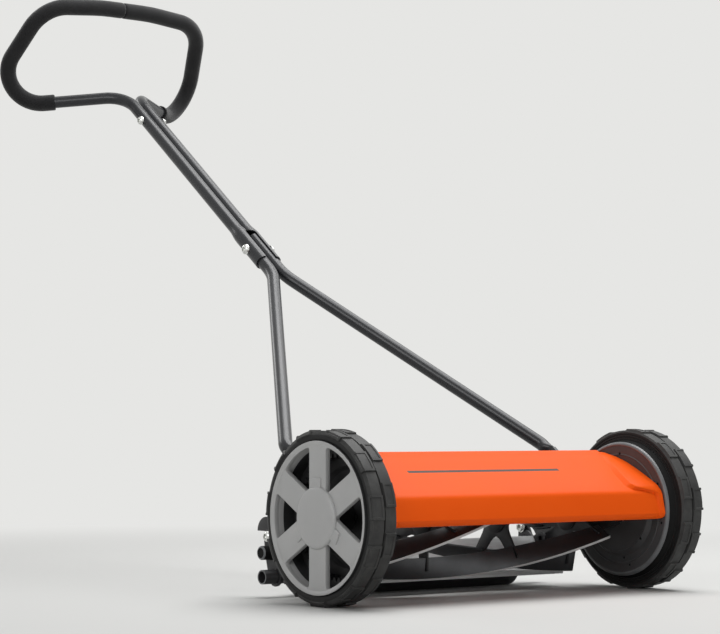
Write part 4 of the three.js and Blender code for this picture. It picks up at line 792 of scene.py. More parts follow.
# A thin plain grey stripe is printed along the upper face, by the hood's own coordinates.
axes = add(tree, "ShaderNodeSeparateXYZ", links={0: place})
facing = add(tree, "ShaderNodeNewGeometry").outputs["True Normal"]
upright = add(tree, "ShaderNodeSeparateXYZ", links={0: facing})
stripe_y = STRIPE_Y * MM + AXLE_Y
inside = [
    ("COMPARE", axes.outputs["X"], (STRIPE_START + STRIPE_END) / 2 * MM, (STRIPE_END - STRIPE_START) / 2 * MM),
    ("COMPARE", axes.outputs["Y"], stripe_y, STRIPE_HALF * MM),
    ("GREATER_THAN", upright.outputs["Z"], 0.2, 0),
]
mask = None
for operation, source, middle, spread in inside:
    test = add(tree, "ShaderNodeMath", {"operation": operation, 1: middle, 2: spread}, {0: source})
    if mask is not None:
        test = add(tree, "ShaderNodeMath", {"operation": "MULTIPLY"}, {0: test.outputs[0], 1: mask.outputs[0]})
    mask = test
printed = add(
    tree,
    "ShaderNodeMix",
    {"data_type": "RGBA", 7: colour("#544E4A")},
    {0: mask.outputs[0], 6: tint.outputs[2]},
)
tree.links.new(printed.outputs[2], shader.inputs["Base Color"])


def between(a, b, share):
    return (a[0] + (b[0] - a[0]) * share, a[1] + (b[1] - a[1]) * share)


def forward(p, share):
    return (p[0] - RIM_FORWARD * share, p[1] + RIM_FORWARD * share * 0.2)


def across_row(row, from_end):
    """Where a row of the sheet stands at a distance in from the end: flat, then a band, then the flare."""
    point, rim, inset = row
    band = min(BAND_WIDTH, inset * 0.35)
    if from_end >= inset:
        return point
    if from_end > inset - band:
        return between(point, rim, BAND_LIFT * (inset - from_end) / band)
    return between(rim, between(point, rim, BAND_LIFT), from_end / (inset - band))


# Each row: the section's point, the rim's point, and how far in from the end its facet starts.
hood_rows = [(REAR_HEM, REAR_HEM, FACET_TOP / 2), (REAR, REAR, FACET_TOP / 2)]
hood_rows.append(((CREST[0] + 6, CREST[1] - 0.2), (CREST[0] + 6, CREST[1] - 3), FACET_TOP))
for share, rise, inset in FLARE_ROWS:
    point = between(CREST, CREASE, share)
    hood_rows.append((point, (point[0] - RIM_FORWARD * share * 0.9, point[1] + rise), inset))
roll_start = between(CREASE, CREST, CREASE_TRIM / math.dist(CREASE, CREST))
roll_end = between(CREASE, FOOT, CREASE_TRIM / math.dist(CREASE, FOOT))
for step in range(CREASE_STEPS + 1):
    share = step / CREASE_STEPS
    point = between(between(roll_start, CREASE, share), between(CREASE, roll_end, share), share)
    rim = (point[0] - RIM_FORWARD * 0.9, point[1] + 3 * (1 - share) + RIM_FORWARD * 0.2 * share)
    hood_rows.append((point, rim, FACET_FRONT + CREASE_INSET * (1 - share) ** 2))
hood_rows.append((FOOT, forward(FOOT, 0.6), FACET_FRONT))
hood_rows.append((ROLL, forward(ROLL, 0.55), FACET_FRONT))
hood_rows.append((LIP, forward(LIP, 0.5), FACET_FRONT))
hood_rows.append((HEM, forward(HEM, 0.3), FACET_FRONT))

hood = bmesh.new()
columns = []
for way, stop in ((-1, 0), (-1, 1), (-1, 2), (1, 2), (1, 1), (1, 0)):
    column = []
    for point, rim, inset in hood_rows:
        row = (point, rim, inset * FLARE_SHARES[way])
        from_end = (0, row[2] - min(BAND_WIDTH, row[2] * 0.35), row[2])[stop]
        column.append((way * (HOOD_END - from_end), *across_row(row, from_end)))
    columns.append(column)
verts = [hood.verts.new(place_) for place_ in columns[0]]
strip = [hood.edges.new(pair) for pair in zip(verts, verts[1:])]
for column in columns[1:]:
    made = bmesh.ops.extrude_edge_only(hood, edges=strip)["geom"]
    strip = [e for e in made if isinstance(e, bmesh.types.BMEdge) and all(v in made for v in e.verts)]
    strip = [e for e in strip if len(e.link_faces) == 1]
    fresh = [v for v in made if isinstance(v, bmesh.types.BMVert)]
    verts_before = verts
    verts = []
    for old in verts_before:
        verts.append(next(v for v in (e.other_vert(old) for e in old.link_edges) if v in fresh))
    for vert, spot in zip(verts, column):
        vert.co = spot
bmesh.ops.recalc_face_normals(hood, faces=hood.faces)
creased = [e for e in hood.edges if len(e.link_faces) == 2 and e.calc_face_angle(0) > math.radians(15)]
bmesh.ops.bevel(
    hood,
    geom=creased,
    offset=2.2,
    offset_type="OFFSET",
    segments=3,
    profile=0.5,
    affect="EDGES",
    material=-1,
    clamp_overlap=True,
)
upward = sum(f.normal.z * f.calc_area() for f in hood.faces)
if upward < 0:
    bmesh.ops.reverse_faces(hood, faces=hood.faces)
bmesh.ops.solidify(hood, geom=hood.faces, thickness=HOOD_WALL)
for side in SIDES.values():
    web = bmesh.new()
    rows = [(point, rim, inset * FLARE_SHARES[side]) for point, rim, inset in hood_rows[1:-2]]
    upper = [across_row(row, HOOD_END - WEB_FACE - WEB_WALL / 2) for row in rows]
    upper = [(y, z - HOOD_WALL * 0.7) for y, z in upper]
    lower = [between(p, (0, WHEEL_RADIUS), WEB_SHARE) for p in reversed(upper)]
    plate(web, [upper + lower, circle(*TIE, 4.8, 20), circle(*EAR, 3.3, 20)], WEB_FACE, WEB_FACE + WEB_WALL)
    scrap = bpy.data.meshes.new("scrap")
    mirrored(web, side).to_mesh(scrap)
    hood.from_mesh(scrap)
    web.free()
    bpy.data.meshes.remove(scrap)
settle(hood, "hood_pressing", "frame", "orange_paint", [orange_paint], ["cover"], smooth=24)

# Reel: five helical blades of hardened strip steel, ground bright along the cutting edge, held in four
# stamped star spiders on a turned shaft. The spiders are black coated steel, the shaft bare steel, the blades bare
# and dark.
REEL_RADIUS = 74.4
REEL_HALF = 200
BLADES = 5
BLADE_TWIST = math.radians(100.6)
BLADE_PHASE = math.radians(200.5)
BLADE_WIDTH = 28
BLADE_WALL = 3
BLADE_LEAN = math.radians(10)
SPIDER_PLACES = (-188, -62.7, 62.7, 188)
SPIDER_WALL = 3.2
SPIDER_WEB = 21
SPIDER_ROOT = 12.5
SPIDER_TIP = 6.5
SPIDER_REACH = 64
SPIDER_BOSS = 19
SHAFT_RADIUS = 8
JOURNAL_RADIUS = 6
JOURNAL_END = 249.5
JOURNAL_START = 203.7

# Hardened strip: dark mill scale with fine lengthwise rolling lines.
blade_steel, tree, shader, place = new_finish(
    "hardened_strip_steel",
    metallic=0.7,
    roughness=0.5,
    base_color=colour("#3E3F41"),
)
long_lines = add(tree, "ShaderNodeMapping", {"Scale": (every(160), every(1.1), every(1.1))}, {"Vector": place})
lines = add(tree, "ShaderNodeTexNoise", {"Scale": 1, "Detail": 4}, {"Vector": long_lines.outputs[0]})
scale_cloud = add(tree, "ShaderNodeTexNoise", {"Scale": every(28), "Detail": 5}, {"Vector": place})
tint = add(tree, "ShaderNodeMix", {"data_type": "RGBA", 6: colour("#3E3F41"), 7: colour("#5A5B5D")}, {0: scale_cloud.outputs[0]})
tree.links.new(tint.outputs[2], shader.inputs["Base Color"])
rough = add(tree, "ShaderNodeMapRange", {"To Min": 0.28, "To Max": 0.55}, {0: lines.outputs[0]})
tree.links.new(rough.outputs[0], shader.inputs["Roughness"])
bump = add(tree, "ShaderNodeBump", {"Strength": 0.15, "Distance": 0.0002}, {"Height": lines.outputs[0]})
tree.links.new(bump.outputs[0], shader.inputs["Normal"])

# Ground edge: bright steel with grinding marks square to the edge. Near white and mostly diffuse, it also carries a
# painted glint that stays bright whatever the edge faces.
ground_steel_and_glint, tree, shader, place = new_finish(
    "ground_steel_and_glint",
    metallic=0.2,
    roughness=0.4,
    base_color=colour("#D4D5D5"),
)
marks = add(tree, "ShaderNodeTexNoise", {"Scale": every(0.7), "Detail": 2}, {"Vector": place})
rough = add(tree, "ShaderNodeMapRange", {"To Min": 0.32, "To Max": 0.5}, {0: marks.outputs[0]})
tree.links.new(rough.outputs[0], shader.inputs["Roughness"])

# Black steel: baked black coat on pressed steel, satin, greyer in random patches.
black_steel, tree, shader, place = new_finish(
    "black_coated_steel",
    metallic=0.3,
    roughness=0.42,
    base_color=colour("#2A2A2B"),
)
patch = add(tree, "ShaderNodeTexNoise", {"Scale": every(18), "Detail": 6}, {"Vector": place})
tint = add(tree, "ShaderNodeMix", {"data_type": "RGBA", 6: colour("#202021"), 7: colour("#38383A")}, {0: patch.outputs[0]})
tree.links.new(tint.outputs[2], shader.inputs["Base Color"])
rough = add(tree, "ShaderNodeMapRange", {"To Min": 0.32, "To Max": 0.55}, {0: patch.outputs[0]})
tree.links.new(rough.outputs[0], shader.inputs["Roughness"])

# Bare turned or rolled steel: pale, with a thin oil film and faint streaks along the part.
bare_steel, tree, shader, place = new_finish(
    "bare_rolled_steel",
    metallic=0.35,
    roughness=0.42,
    base_color=colour("#D0D1D1"),
)
streak_place = add(tree, "ShaderNodeMapping", {"Scale": (every(125), every(3.8), every(3.8))}, {"Vector": place})
streaks = add(tree, "ShaderNodeTexNoise", {"Scale": 1, "Detail": 5}, {"Vector": streak_place.outputs[0]})
tint = add(tree, "ShaderNodeMix", {"data_type": "RGBA", 6: colour("#BDBEBE"), 7: colour("#DEDFDF")}, {0: streaks.outputs[0]})
tree.links.new(tint.outputs[2], shader.inputs["Base Color"])
rough = add(tree, "ShaderNodeMapRange", {"To Min": 0.28, "To Max": 0.5}, {0: streaks.outputs[0]})
tree.links.new(rough.outputs[0], shader.inputs["Roughness"])

# Zinc plate: bright bluish passivated fasteners with small dull patches.
zinc, tree, shader, place = new_finish(
    "bright_zinc_plate",
    metallic=1.0,
    roughness=0.25,
    base_color=colour("#D6D7D4"),
)
patch = add(tree, "ShaderNodeTexNoise", {"Scale": every(3.3), "Detail": 3}, {"Vector": place})
rough = add(tree, "ShaderNodeMapRange", {"To Min": 0.15, "To Max": 0.42}, {0: patch.outputs[0]})
tree.links.new(rough.outputs[0], shader.inputs["Roughness"])


def blade_bar(bm, index, from_x, to_x, slack, steps):
    """One blade, or the slot tool for it, wound from one place along the reel to another."""
    turn = BLADE_TWIST * (REEL_HALF - from_x) / (2 * REEL_HALF)
    angle = BLADE_PHASE + index * 2 * math.pi / BLADES + turn
    lean = angle + math.pi + BLADE_LEAN
    half = BLADE_WALL / 2 + slack
    tip = Vector(polar(REEL_RADIUS + slack, angle, REEL_Y, REEL_Z))
    root = tip + Vector(polar(BLADE_WIDTH + 2 * slack, lean))
    across = Vector(polar(half, lean + math.pi / 2))
    ground = tip + Vector(polar(BLADE_WALL * 0.45, lean))
    corners = [tip - across, root - across, root + across, ground + across]
    verts = [bm.verts.new((from_x, *p)) for p in corners]
    edges = [bm.edges.new(pair) for pair in zip(verts, verts[1:] + verts[:1])]
    bmesh.ops.spin(
        bm,
        geom=verts + edges,
        cent=(0, REEL_Y, REEL_Z),
        axis=(1, 0, 0),
        dvec=((to_x - from_x) / steps, 0, 0),
        angle=-BLADE_TWIST * (to_x - from_x) / (2 * REEL_HALF),
        steps=steps,
        use_merge=False,
    )
    bmesh.ops.holes_fill(bm, edges=[e for e in bm.edges if e.is_boundary], sides=4)
    return bm


for index in range(BLADES):
    blade = blade_bar(bmesh.new(), index, -REEL_HALF, REEL_HALF, 0, 96)
    soften(blade, 0.3, angle=30)
    # The outer band of each blade takes the ground finish: a real ground edge whose brightness is partly a painted
    # glint.
    for face in blade.faces:
        reach = min(math.hypot(v.co.y - REEL_Y, v.co.z - REEL_Z) for v in face.verts)
        face.material_index = 1 if reach > REEL_RADIUS - 1.7 else 0
    settle(
        blade,
        "blade_strip_" + str(index + 1),
        "reel",
        "blade_steel",
        [blade_steel, ground_steel_and_glint],
        ["blade_" + str(index + 1)],
    )


def rounded(corners, trims, steps=5):
    """A closed outline with each corner rounded off, starting a given trim away from it."""
    outline = []
    for i, at in enumerate(corners):
        at = Vector(at)
        before = Vector(corners[i - 1])
        after = Vector(corners[(i + 1) % len(corners)])
        a = at + (before - at).normalized() * trims[i]
        b = at + (after - at).normalized() * trims[i]
        for j in range(steps + 1):
            t = j / steps
            outline.append(tuple(a * (1 - t) ** 2 + at * 2 * t * (1 - t) + b * t ** 2))
    return outline


def join_meshes(bm, parts):
    for part in parts:
        scrap = bpy.data.meshes.new("scrap")
        part.to_mesh(scrap)
        bm.from_mesh(scrap)
        part.free()
        bpy.data.meshes.remove(scrap)
    return bm


for number, x in enumerate(SPIDER_PLACES, start=1):
    turn = BLADE_TWIST * (REEL_HALF - x) / (2 * REEL_HALF)
    corners = []
    trims = []
    for index in range(BLADES):
        angle = BLADE_PHASE + index * 2 * math.pi / BLADES + turn
        along = Vector(polar(1, angle))
        side_way = Vector(polar(1, angle + math.pi / 2))
        corners += [
            tuple(along * SPIDER_REACH - side_way * SPIDER_TIP),
            tuple(along * SPIDER_REACH + side_way * SPIDER_TIP),
            polar(SPIDER_WEB - 4, angle + math.pi / BLADES),
        ]
        trims += [2.5, 2.5, 18]
    corners = [(y + REEL_Y, z + REEL_Z) for y, z in corners]
    spider = bmesh.new()
    bore = circle(REEL_Y, REEL_Z, SHAFT_RADIUS + 0.3, 32)
    plate(spider, [rounded(corners, trims), bore], x - SPIDER_WALL / 2, x + SPIDER_WALL / 2)
    soften(spider, 0.45, angle=50)
    tools = bmesh.new()
    for index in range(BLADES):
        reach = SPIDER_WALL + 2
        slot_tool = blade_bar(bmesh.new(), index, x - reach, x + reach, 0.3, 4)
        bmesh.ops.recalc_face_normals(slot_tool, faces=slot_tool.faces)
        join_meshes(tools, [slot_tool])
    spider = cut_with(spider, tools)
    boss = bmesh.new()
    half = SPIDER_WALL * 1.6
    boss_profile = [
        (x - half, SHAFT_RADIUS + 0.3),
        (x - half, SPIDER_BOSS - 5),
        (x - half + 2, SPIDER_BOSS),
        (x + half - 2, SPIDER_BOSS),
        (x + half, SPIDER_BOSS - 5),
        (x + half, SHAFT_RADIUS + 0.3),
    ]
    turned(boss, boss_profile, REEL_Y, REEL_Z, steps=48, closed=True)
    join_meshes(spider, [boss])
    settle(spider, "spider_star_" + str(number), "reel", "black_paint", [black_steel], ["spider_" + str(number)])

shaft = bmesh.new()
shaft_profile = [
    (-JOURNAL_END, 0),
    (-JOURNAL_END, JOURNAL_RADIUS - 0.8),
    (-JOURNAL_END + 0.8, JOURNAL_RADIUS),
    (-JOURNAL_START, JOURNAL_RADIUS),
    (-JOURNAL_START, SHAFT_RADIUS - 0.8),
    (-JOURNAL_START + 0.8, SHAFT_RADIUS),
]
shaft_profile += [(-x, r) for x, r in reversed(shaft_profile)]
turned(shaft, shaft_profile, REEL_Y, REEL_Z, steps=40)
settle(shaft, "reel_axle", "reel", "bare_steel", [bare_steel], ["reel_shaft"])

# Bed bar and bed knife: a folded light steel bar behind the reel and the hard knife screwed to its shelf.
# The bar is bare rolled steel with folded corners, the knife is ground, and its screws are zinc plated.
KNIFE_ANGLE = math.radians(-72)
KNIFE_GAP = 0.3
KNIFE_LENGTH = 404
KNIFE_DEPTH = 24
KNIFE_WALL = 4
KNIFE_SLOPE = math.radians(4)
BAR_WALL = 3
BAR_HALF = 206
BAR_KNEE = (128, 42)
BAR_TOP = (141, 65.4)
BED_PIVOT = (127, 62)
KNIFE_SCREW_PITCH = 88
KNIFE_SCREW_RADIUS = 5
KNIFE_SCREW_HEIGHT = 1.8


def copied(name):
    """A CAD node's mesh as one merged skin in millimetres, with its flat faces made whole."""
    bm = bmesh.new()
    bm.from_mesh(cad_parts[name].data)
    back = Matrix.Scale(1 / MM, 4) @ Matrix.Translation((0, -AXLE_Y, 0))
    bmesh.ops.transform(bm, matrix=back, verts=bm.verts)
    bmesh.ops.remove_doubles(bm, verts=bm.verts, dist=0.01)
    bmesh.ops.dissolve_limit(bm, angle_limit=math.radians(1), verts=bm.verts, edges=bm.edges)
    return bm


bar = soften(copied("bed_bar"), 0.6, 3, 25)
for facet in bar.faces:
    facet.material_index = 1 if abs(facet.calc_center_median().x) > BAR_HALF - BAR_WALL - 0.8 else 0
settle(bar, "bed_bar_fold", "bed_knife", "bed_steel", [bare_steel, black_steel], ["bed_bar"])
# The knife takes the near-white ground finish, its brightness partly a painted glint.
settle(soften(copied("bed_knife"), 0.3, 2, 25), "bed_knife_strip", "bed_knife", "blade_steel", [ground_steel_and_glint], ["bed_knife"])
knife_edge = Vector(polar(REEL_RADIUS + KNIFE_GAP, KNIFE_ANGLE, REEL_Y, REEL_Z))
screw_place = knife_edge + Vector(polar(KNIFE_DEPTH * 0.6, KNIFE_SLOPE))
screws = bmesh.new()
for number in range(-2, 3):
    head = bmesh.new()
    head_profile = [
        (-1, 0),
        (-1, KNIFE_SCREW_RADIUS),
        (KNIFE_SCREW_HEIGHT * 0.35, KNIFE_SCREW_RADIUS),
        (KNIFE_SCREW_HEIGHT * 0.8, KNIFE_SCREW_RADIUS * 0.75),
        (KNIFE_SCREW_HEIGHT, KNIFE_SCREW_RADIUS * 0.45),
        (KNIFE_SCREW_HEIGHT * 0.5, KNIFE_SCREW_RADIUS * 0.4),
        (KNIFE_SCREW_HEIGHT * 0.5, 0),
    ]
    turned(head, head_profile, 0, 0, steps=24)
    stand = Matrix.Rotation(KNIFE_SLOPE, 4, "X") @ Matrix.Rotation(-math.pi / 2, 4, "Y")
    place_at = Matrix.Translation((number * KNIFE_SCREW_PITCH, screw_place.x, screw_place.y))
    bmesh.ops.transform(head, matrix=place_at @ stand, verts=head.verts)
    join_meshes(screws, [head])
settle(screws, "knife_screws", "bed_knife", "zinc", [zinc])

# Rear roller: a black plastic tube with pressed-in ends, on a steel tube between two pressed arms.
ROLLER_AXIS = (160, 26)
ROLLER_RADIUS = 26
ROLLER_HALF = 172
ROLLER_BORE = 9.3
ROLLER_TUBE_RADIUS = 9
ROLLER_TUBE_BORE = 7.2
ROLLER_TUBE_END = 239
SLEEVE_AXIS = (168, 55.5)
SLEEVE_RADIUS = 8.8
SLEEVE_INNER = 205
SLEEVE_END = 235
# A quadrant stands out behind each side plate, above the clamp bolt.
QUADRANT_CENTRE = (184.4, 81.6)
QUADRANT_RADIUS = 18
QUADRANT_ROOT = 160
QUADRANT_FACES = (211.7, 214.8)

roller = bmesh.new()
roller_profile = [
    (-ROLLER_HALF, ROLLER_BORE),
    (-ROLLER_HALF, ROLLER_RADIUS - 4),
    (-ROLLER_HALF + 1, ROLLER_RADIUS - 3.6),
    (-ROLLER_HALF + 1, ROLLER_RADIUS - 2.8),
    (-ROLLER_HALF, ROLLER_RADIUS - 2.4),
    (-ROLLER_HALF, ROLLER_RADIUS - 1.4),
    (-ROLLER_HALF + 1.4, ROLLER_RADIUS),
]
roller_profile += [(-x, r) for x, r in reversed(roller_profile)]
turned(roller, roller_profile, *ROLLER_AXIS, steps=72, closed=True)
settle(roller, "roller_drum", "roller", "black_plastic", [black_plastic], ["roller"])
roller_axle = bmesh.new()
axle_profile = [(-ROLLER_TUBE_END, ROLLER_TUBE_BORE), (-ROLLER_TUBE_END, ROLLER_TUBE_RADIUS)]
axle_profile += [(-x, r) for x, r in reversed(axle_profile)]
turned(roller_axle, axle_profile, *ROLLER_AXIS, steps=40, closed=True)
soften(roller_axle, 0.3, 2, 60)
# The tube's end faces take the pale rim finish, a painted highlight on its cut ends.
for facet in roller_axle.faces:
    facet.material_index = 1 if abs(facet.calc_center_median().x) > ROLLER_TUBE_END - 0.4 else 0
settle(
    roller_axle,
    "roller_axle",
    "roller_arm",
    "black_paint",
    [black_steel, pale_rim_painted_highlight],
    ["roller_tube"],
)
for side_name, side in SIDES.items():
    sleeve = bmesh.new()
    sleeve_profile = [
        (SLEEVE_INNER, 0),
        (SLEEVE_INNER, SLEEVE_RADIUS),
        (SLEEVE_END - 1.5, SLEEVE_RADIUS),
        (SLEEVE_END - 0.3, SLEEVE_RADIUS - 1),
        (SLEEVE_END, SLEEVE_RADIUS - 2.4),
        (SLEEVE_END - 0.8, SLEEVE_RADIUS - 3.4),
        (SLEEVE_END - 0.8, 0),
    ]
    turned(sleeve, sleeve_profile, *SLEEVE_AXIS, steps=40)
    # The sleeve takes the near-black finish, and its chamfered outer end takes the pale rim finish as a painted
    # highlight.
    for facet in sleeve.faces:
        spot = facet.calc_center_median()
        reach = math.hypot(spot.y - SLEEVE_AXIS[0], spot.z - SLEEVE_AXIS[1])
        facet.material_index = 1 if spot.x > SLEEVE_END - 1.6 and reach > SLEEVE_RADIUS - 2.2 else 0
    settle(
        mirrored(sleeve, side),
        "pivot_sleeve_" + side_name,
        "frame",
        "black_plastic",
        [dark_nylon_and_shade, pale_rim_painted_highlight],
        ["arm_sleeve_" + side_name],
    )
    for node, body in (("side_plate", "frame"), ("roller_arm", "roller_arm")):
        full = node + "_" + side_name
        pressed = soften(copied(full), 0.5, 2, 40)
        if node == "side_plate":
            ear = [polar(QUADRANT_RADIUS, math.pi / 2 * i / 10, *QUADRANT_CENTRE) for i in range(11)]
            ear += [(QUADRANT_ROOT, ear[-1][1]), (QUADRANT_ROOT, ear[0][1])]
            quadrant = soften(plate(bmesh.new(), [ear], *QUADRANT_FACES), 0.4, 2, 50)
            join_meshes(pressed, [mirrored(quadrant, side)])
        settle(pressed, "pressed_" + full, body, "black_paint", [black_steel], [full])

# Handle: drawn steel tubes painted graphite grey. Two lower tubes run down to flattened lugs, and one
# tube bent to a loop ends in two opened shells that grip them, all held by through bolts.
TUBE_RADIUS = 9
TUBE_WALL = 1
TUBE_SPACING = 9.3
SHAFT_SLOPE = math.radians(37.7)
JOINT_Y = 497
JOINT_Z = 465.6
UPPER_BOLT = 349.6
LOWER_TOP = 30
LOWER_BEND = -62
LOWER_END_X = 217.8
PIVOT_ALONG = -487
LUG_LENGTH = 27
LUG_RUN = 8
LUG_WALL = 5
LUG_HALF = 12.5
LOOP_TURN = 72
LOOP_PLANE = 169
LOOP_WIDE = 190
LOOP_DROP = 99.5
LOOP_TOP_WIDE = 143
LOOP_TOP_RISE = 87
CROWN_RISE = 97.7
CROWN_RUN = 45
LOOP_RADII = [54, 49, 57, 300]
SHELL_LOW = -32
SHELL_HIGH = 32
SHELL_TOP = 56
SHELL_RADIUS = 11.3
SHELL_WALL = 1.8
GRIP_RADIUS = 12.3
GRIP_START = 103
GRIP_GAP = 0.5
SEAM_SHIFT = 6

# Graphite paint: dark grey metallic enamel over drawn tube, glossy, with fine flake sparkle.
graphite_paint, tree, shader, place = new_finish(
    "graphite_metallic_enamel",
    metallic=0.15,
    roughness=0.3,
    base_color=colour("#2A2B2D"),
    specular_ior_level=0.25,
    coat_weight=0.2,
    coat_roughness=0.15,
)
flake = add(tree, "ShaderNodeTexVoronoi", {"Scale": every(0.4)}, {"Vector": place})
tint = add(tree, "ShaderNodeMix", {"data_type": "RGBA", 6: colour("#252628"), 7: colour("#36373A")}, {0: flake.outputs["Color"]})
tree.links.new(tint.outputs[2], shader.inputs["Base Color"])
haze = add(tree, "ShaderNodeTexNoise", {"Scale": every(70), "Detail": 4}, {"Vector": place})
rough = add(tree, "ShaderNodeMapRange", {"To Min": 0.24, "To Max": 0.36}, {0: haze.outputs[0]})
tree.links.new(rough.outputs[0], shader.inputs["Roughness"])


def on_shaft(along, square=0.0):
    cosine, sine = math.cos(SHAFT_SLOPE), math.sin(SHAFT_SLOPE)
    return (JOINT_Y + along * cosine - square * sine, JOINT_Z + along * sine + square * cosine)


def handle_point(x, along, square=0.0):
    return Vector((x, *on_shaft(along, square)))


def bent(corners, radii, step=math.radians(5)):
    """Points along straight runs joined by arcs of the given radii."""
    points = [corners[0]]
    for i in range(1, len(corners) - 1):
        before = (corners[i - 1] - corners[i]).normalized()
        after = (corners[i + 1] - corners[i]).normalized()
        half = before.angle(after) / 2
        radius = radii[i - 1]
        start = corners[i] + before * radius / math.tan(half)
        centre = corners[i] + (before + after).normalized() * radius / math.sin(half)
        axis = after.cross(before).normalized()
        sweep_angle = math.pi - 2 * half
        count = max(2, math.ceil(sweep_angle / step))
        for j in range(count + 1):
            turn = Matrix.Rotation(sweep_angle * j / count, 3, axis)
            points.append(centre + turn @ (start - centre))
    points.append(corners[-1])
    return points


def tube(points, radius, sides=28, shares=None, caps=False):
    """A round tube drawn along points, as a bmesh; shares widen or narrow it point by point."""
    curve = bpy.data.curves.new("tube", "CURVE")
    curve.dimensions = "3D"
    curve.bevel_depth = radius
    curve.bevel_resolution = (sides - 4) // 2
    curve.use_fill_caps = caps
    spline = curve.splines.new("POLY")
    spline.points.add(len(points) - 1)
    for i, point in enumerate(points):
        spline.points[i].co = (*point, 1)
        spline.points[i].radius = shares[i] if shares else 1
    drawn = bpy.data.objects.new("tube", curve)
    bpy.context.scene.collection.objects.link(drawn)
    depsgraph = bpy.context.evaluated_depsgraph_get()
    bm = bmesh.new()
    bm.from_mesh(drawn.evaluated_get(depsgraph).to_mesh())
    bpy.data.objects.remove(drawn)
    bpy.data.curves.remove(curve)
    return bm


def walled(bm, wall):
    """Gives an open skin a wall on its inside."""
    bmesh.ops.remove_doubles(bm, verts=bm.verts, dist=0.002)
    bmesh.ops.recalc_face_normals(bm, faces=bm.faces)
    bmesh.ops.solidify(bm, geom=bm.faces, thickness=wall)
    return bm


def ringed(bm, x, stations, segments=32):
    """A skin over round or oval rings across the shaft, each (along, half width, half height)."""
    rings = []
    face_along = Matrix.Rotation(SHAFT_SLOPE - math.pi / 2, 4, "X")
    for along, half_x, half_v in stations:
        squash = Matrix.Diagonal((half_x, half_v, 1, 1))
        place_at = Matrix.Translation(handle_point(x, along)) @ face_along @ squash
        made = bmesh.ops.create_circle(bm, segments=segments, radius=1, matrix=place_at)["verts"]
        rings.append([e for e in bm.edges if e.verts[0] in made and e.verts[1] in made])
    for a, b in zip(rings, rings[1:]):
        bmesh.ops.bridge_loops(bm, edges=a + b)
    return bm


for side_name, side in SIDES.items():
    corners = [
        handle_point(TUBE_SPACING, LOWER_TOP),
        handle_point(TUBE_SPACING, LOWER_BEND),
        handle_point(LOWER_END_X, PIVOT_ALONG + LUG_LENGTH + LUG_RUN),
        handle_point(LOWER_END_X, PIVOT_ALONG + LUG_LENGTH),
    ]
    lower = walled(tube(bent(corners, [70, 20]), TUBE_RADIUS), TUBE_WALL)
    lug_top = PIVOT_ALONG + LUG_LENGTH
    neck = ringed(
        bmesh.new(),
        LOWER_END_X,
        [
            (lug_top + 3, TUBE_RADIUS, TUBE_RADIUS),
            (lug_top, TUBE_RADIUS - 0.2, TUBE_RADIUS + 0.2),
            (lug_top - 3, TUBE_RADIUS - 1.4, TUBE_RADIUS + 1),
            (lug_top - 7, 5, LUG_HALF - 1.6),
            (lug_top - 10.5, 3.2, LUG_HALF - 0.6),
            (lug_top - 13, LUG_WALL / 2, LUG_HALF - 0.3),
            (lug_top - 15, LUG_WALL / 2, LUG_HALF - 0.3),
        ],
    )
    bmesh.ops.holes_fill(neck, edges=[e for e in neck.edges if e.is_boundary], sides=64)
    pivot = on_shaft(PIVOT_ALONG)
    shoulder = on_shaft(PIVOT_ALONG + LUG_LENGTH - 13)
    down = SHAFT_SLOPE + math.pi
    rim = [polar(LUG_HALF, down - math.pi / 2 + math.pi * i / 20, *pivot) for i in range(21)]
    rim += [polar(LUG_HALF, down + math.pi / 2, *shoulder), polar(LUG_HALF, down - math.pi / 2, *shoulder)]
    lug = bmesh.new()
    plate(lug, [rim, circle(*pivot, 5.3, 24)], LOWER_END_X - LUG_WALL / 2, LOWER_END_X + LUG_WALL / 2)
    soften(lug, 0.8, 2, 50)
    join_meshes(lower, [neck, lug])
    settle(
        mirrored(lower, side),
        "lower_handle_tube_" + side_name,
        "handle",
        "graphite_paint",
        [graphite_paint],
        ["lower_tube_" + side_name],
    )


def half_loop(start):
    """Corners of the right half of the loop, from a place along the shaft to the crown."""
    plane = UPPER_BOLT + LOOP_PLANE
    return [
        handle_point(TUBE_SPACING, start),
        handle_point(TUBE_SPACING, UPPER_BOLT + LOOP_TURN),
        handle_point(LOOP_WIDE, plane, -LOOP_DROP),
        handle_point(LOOP_TOP_WIDE, plane, LOOP_TOP_RISE),
        handle_point(CROWN_RUN, plane, CROWN_RISE),
    ]


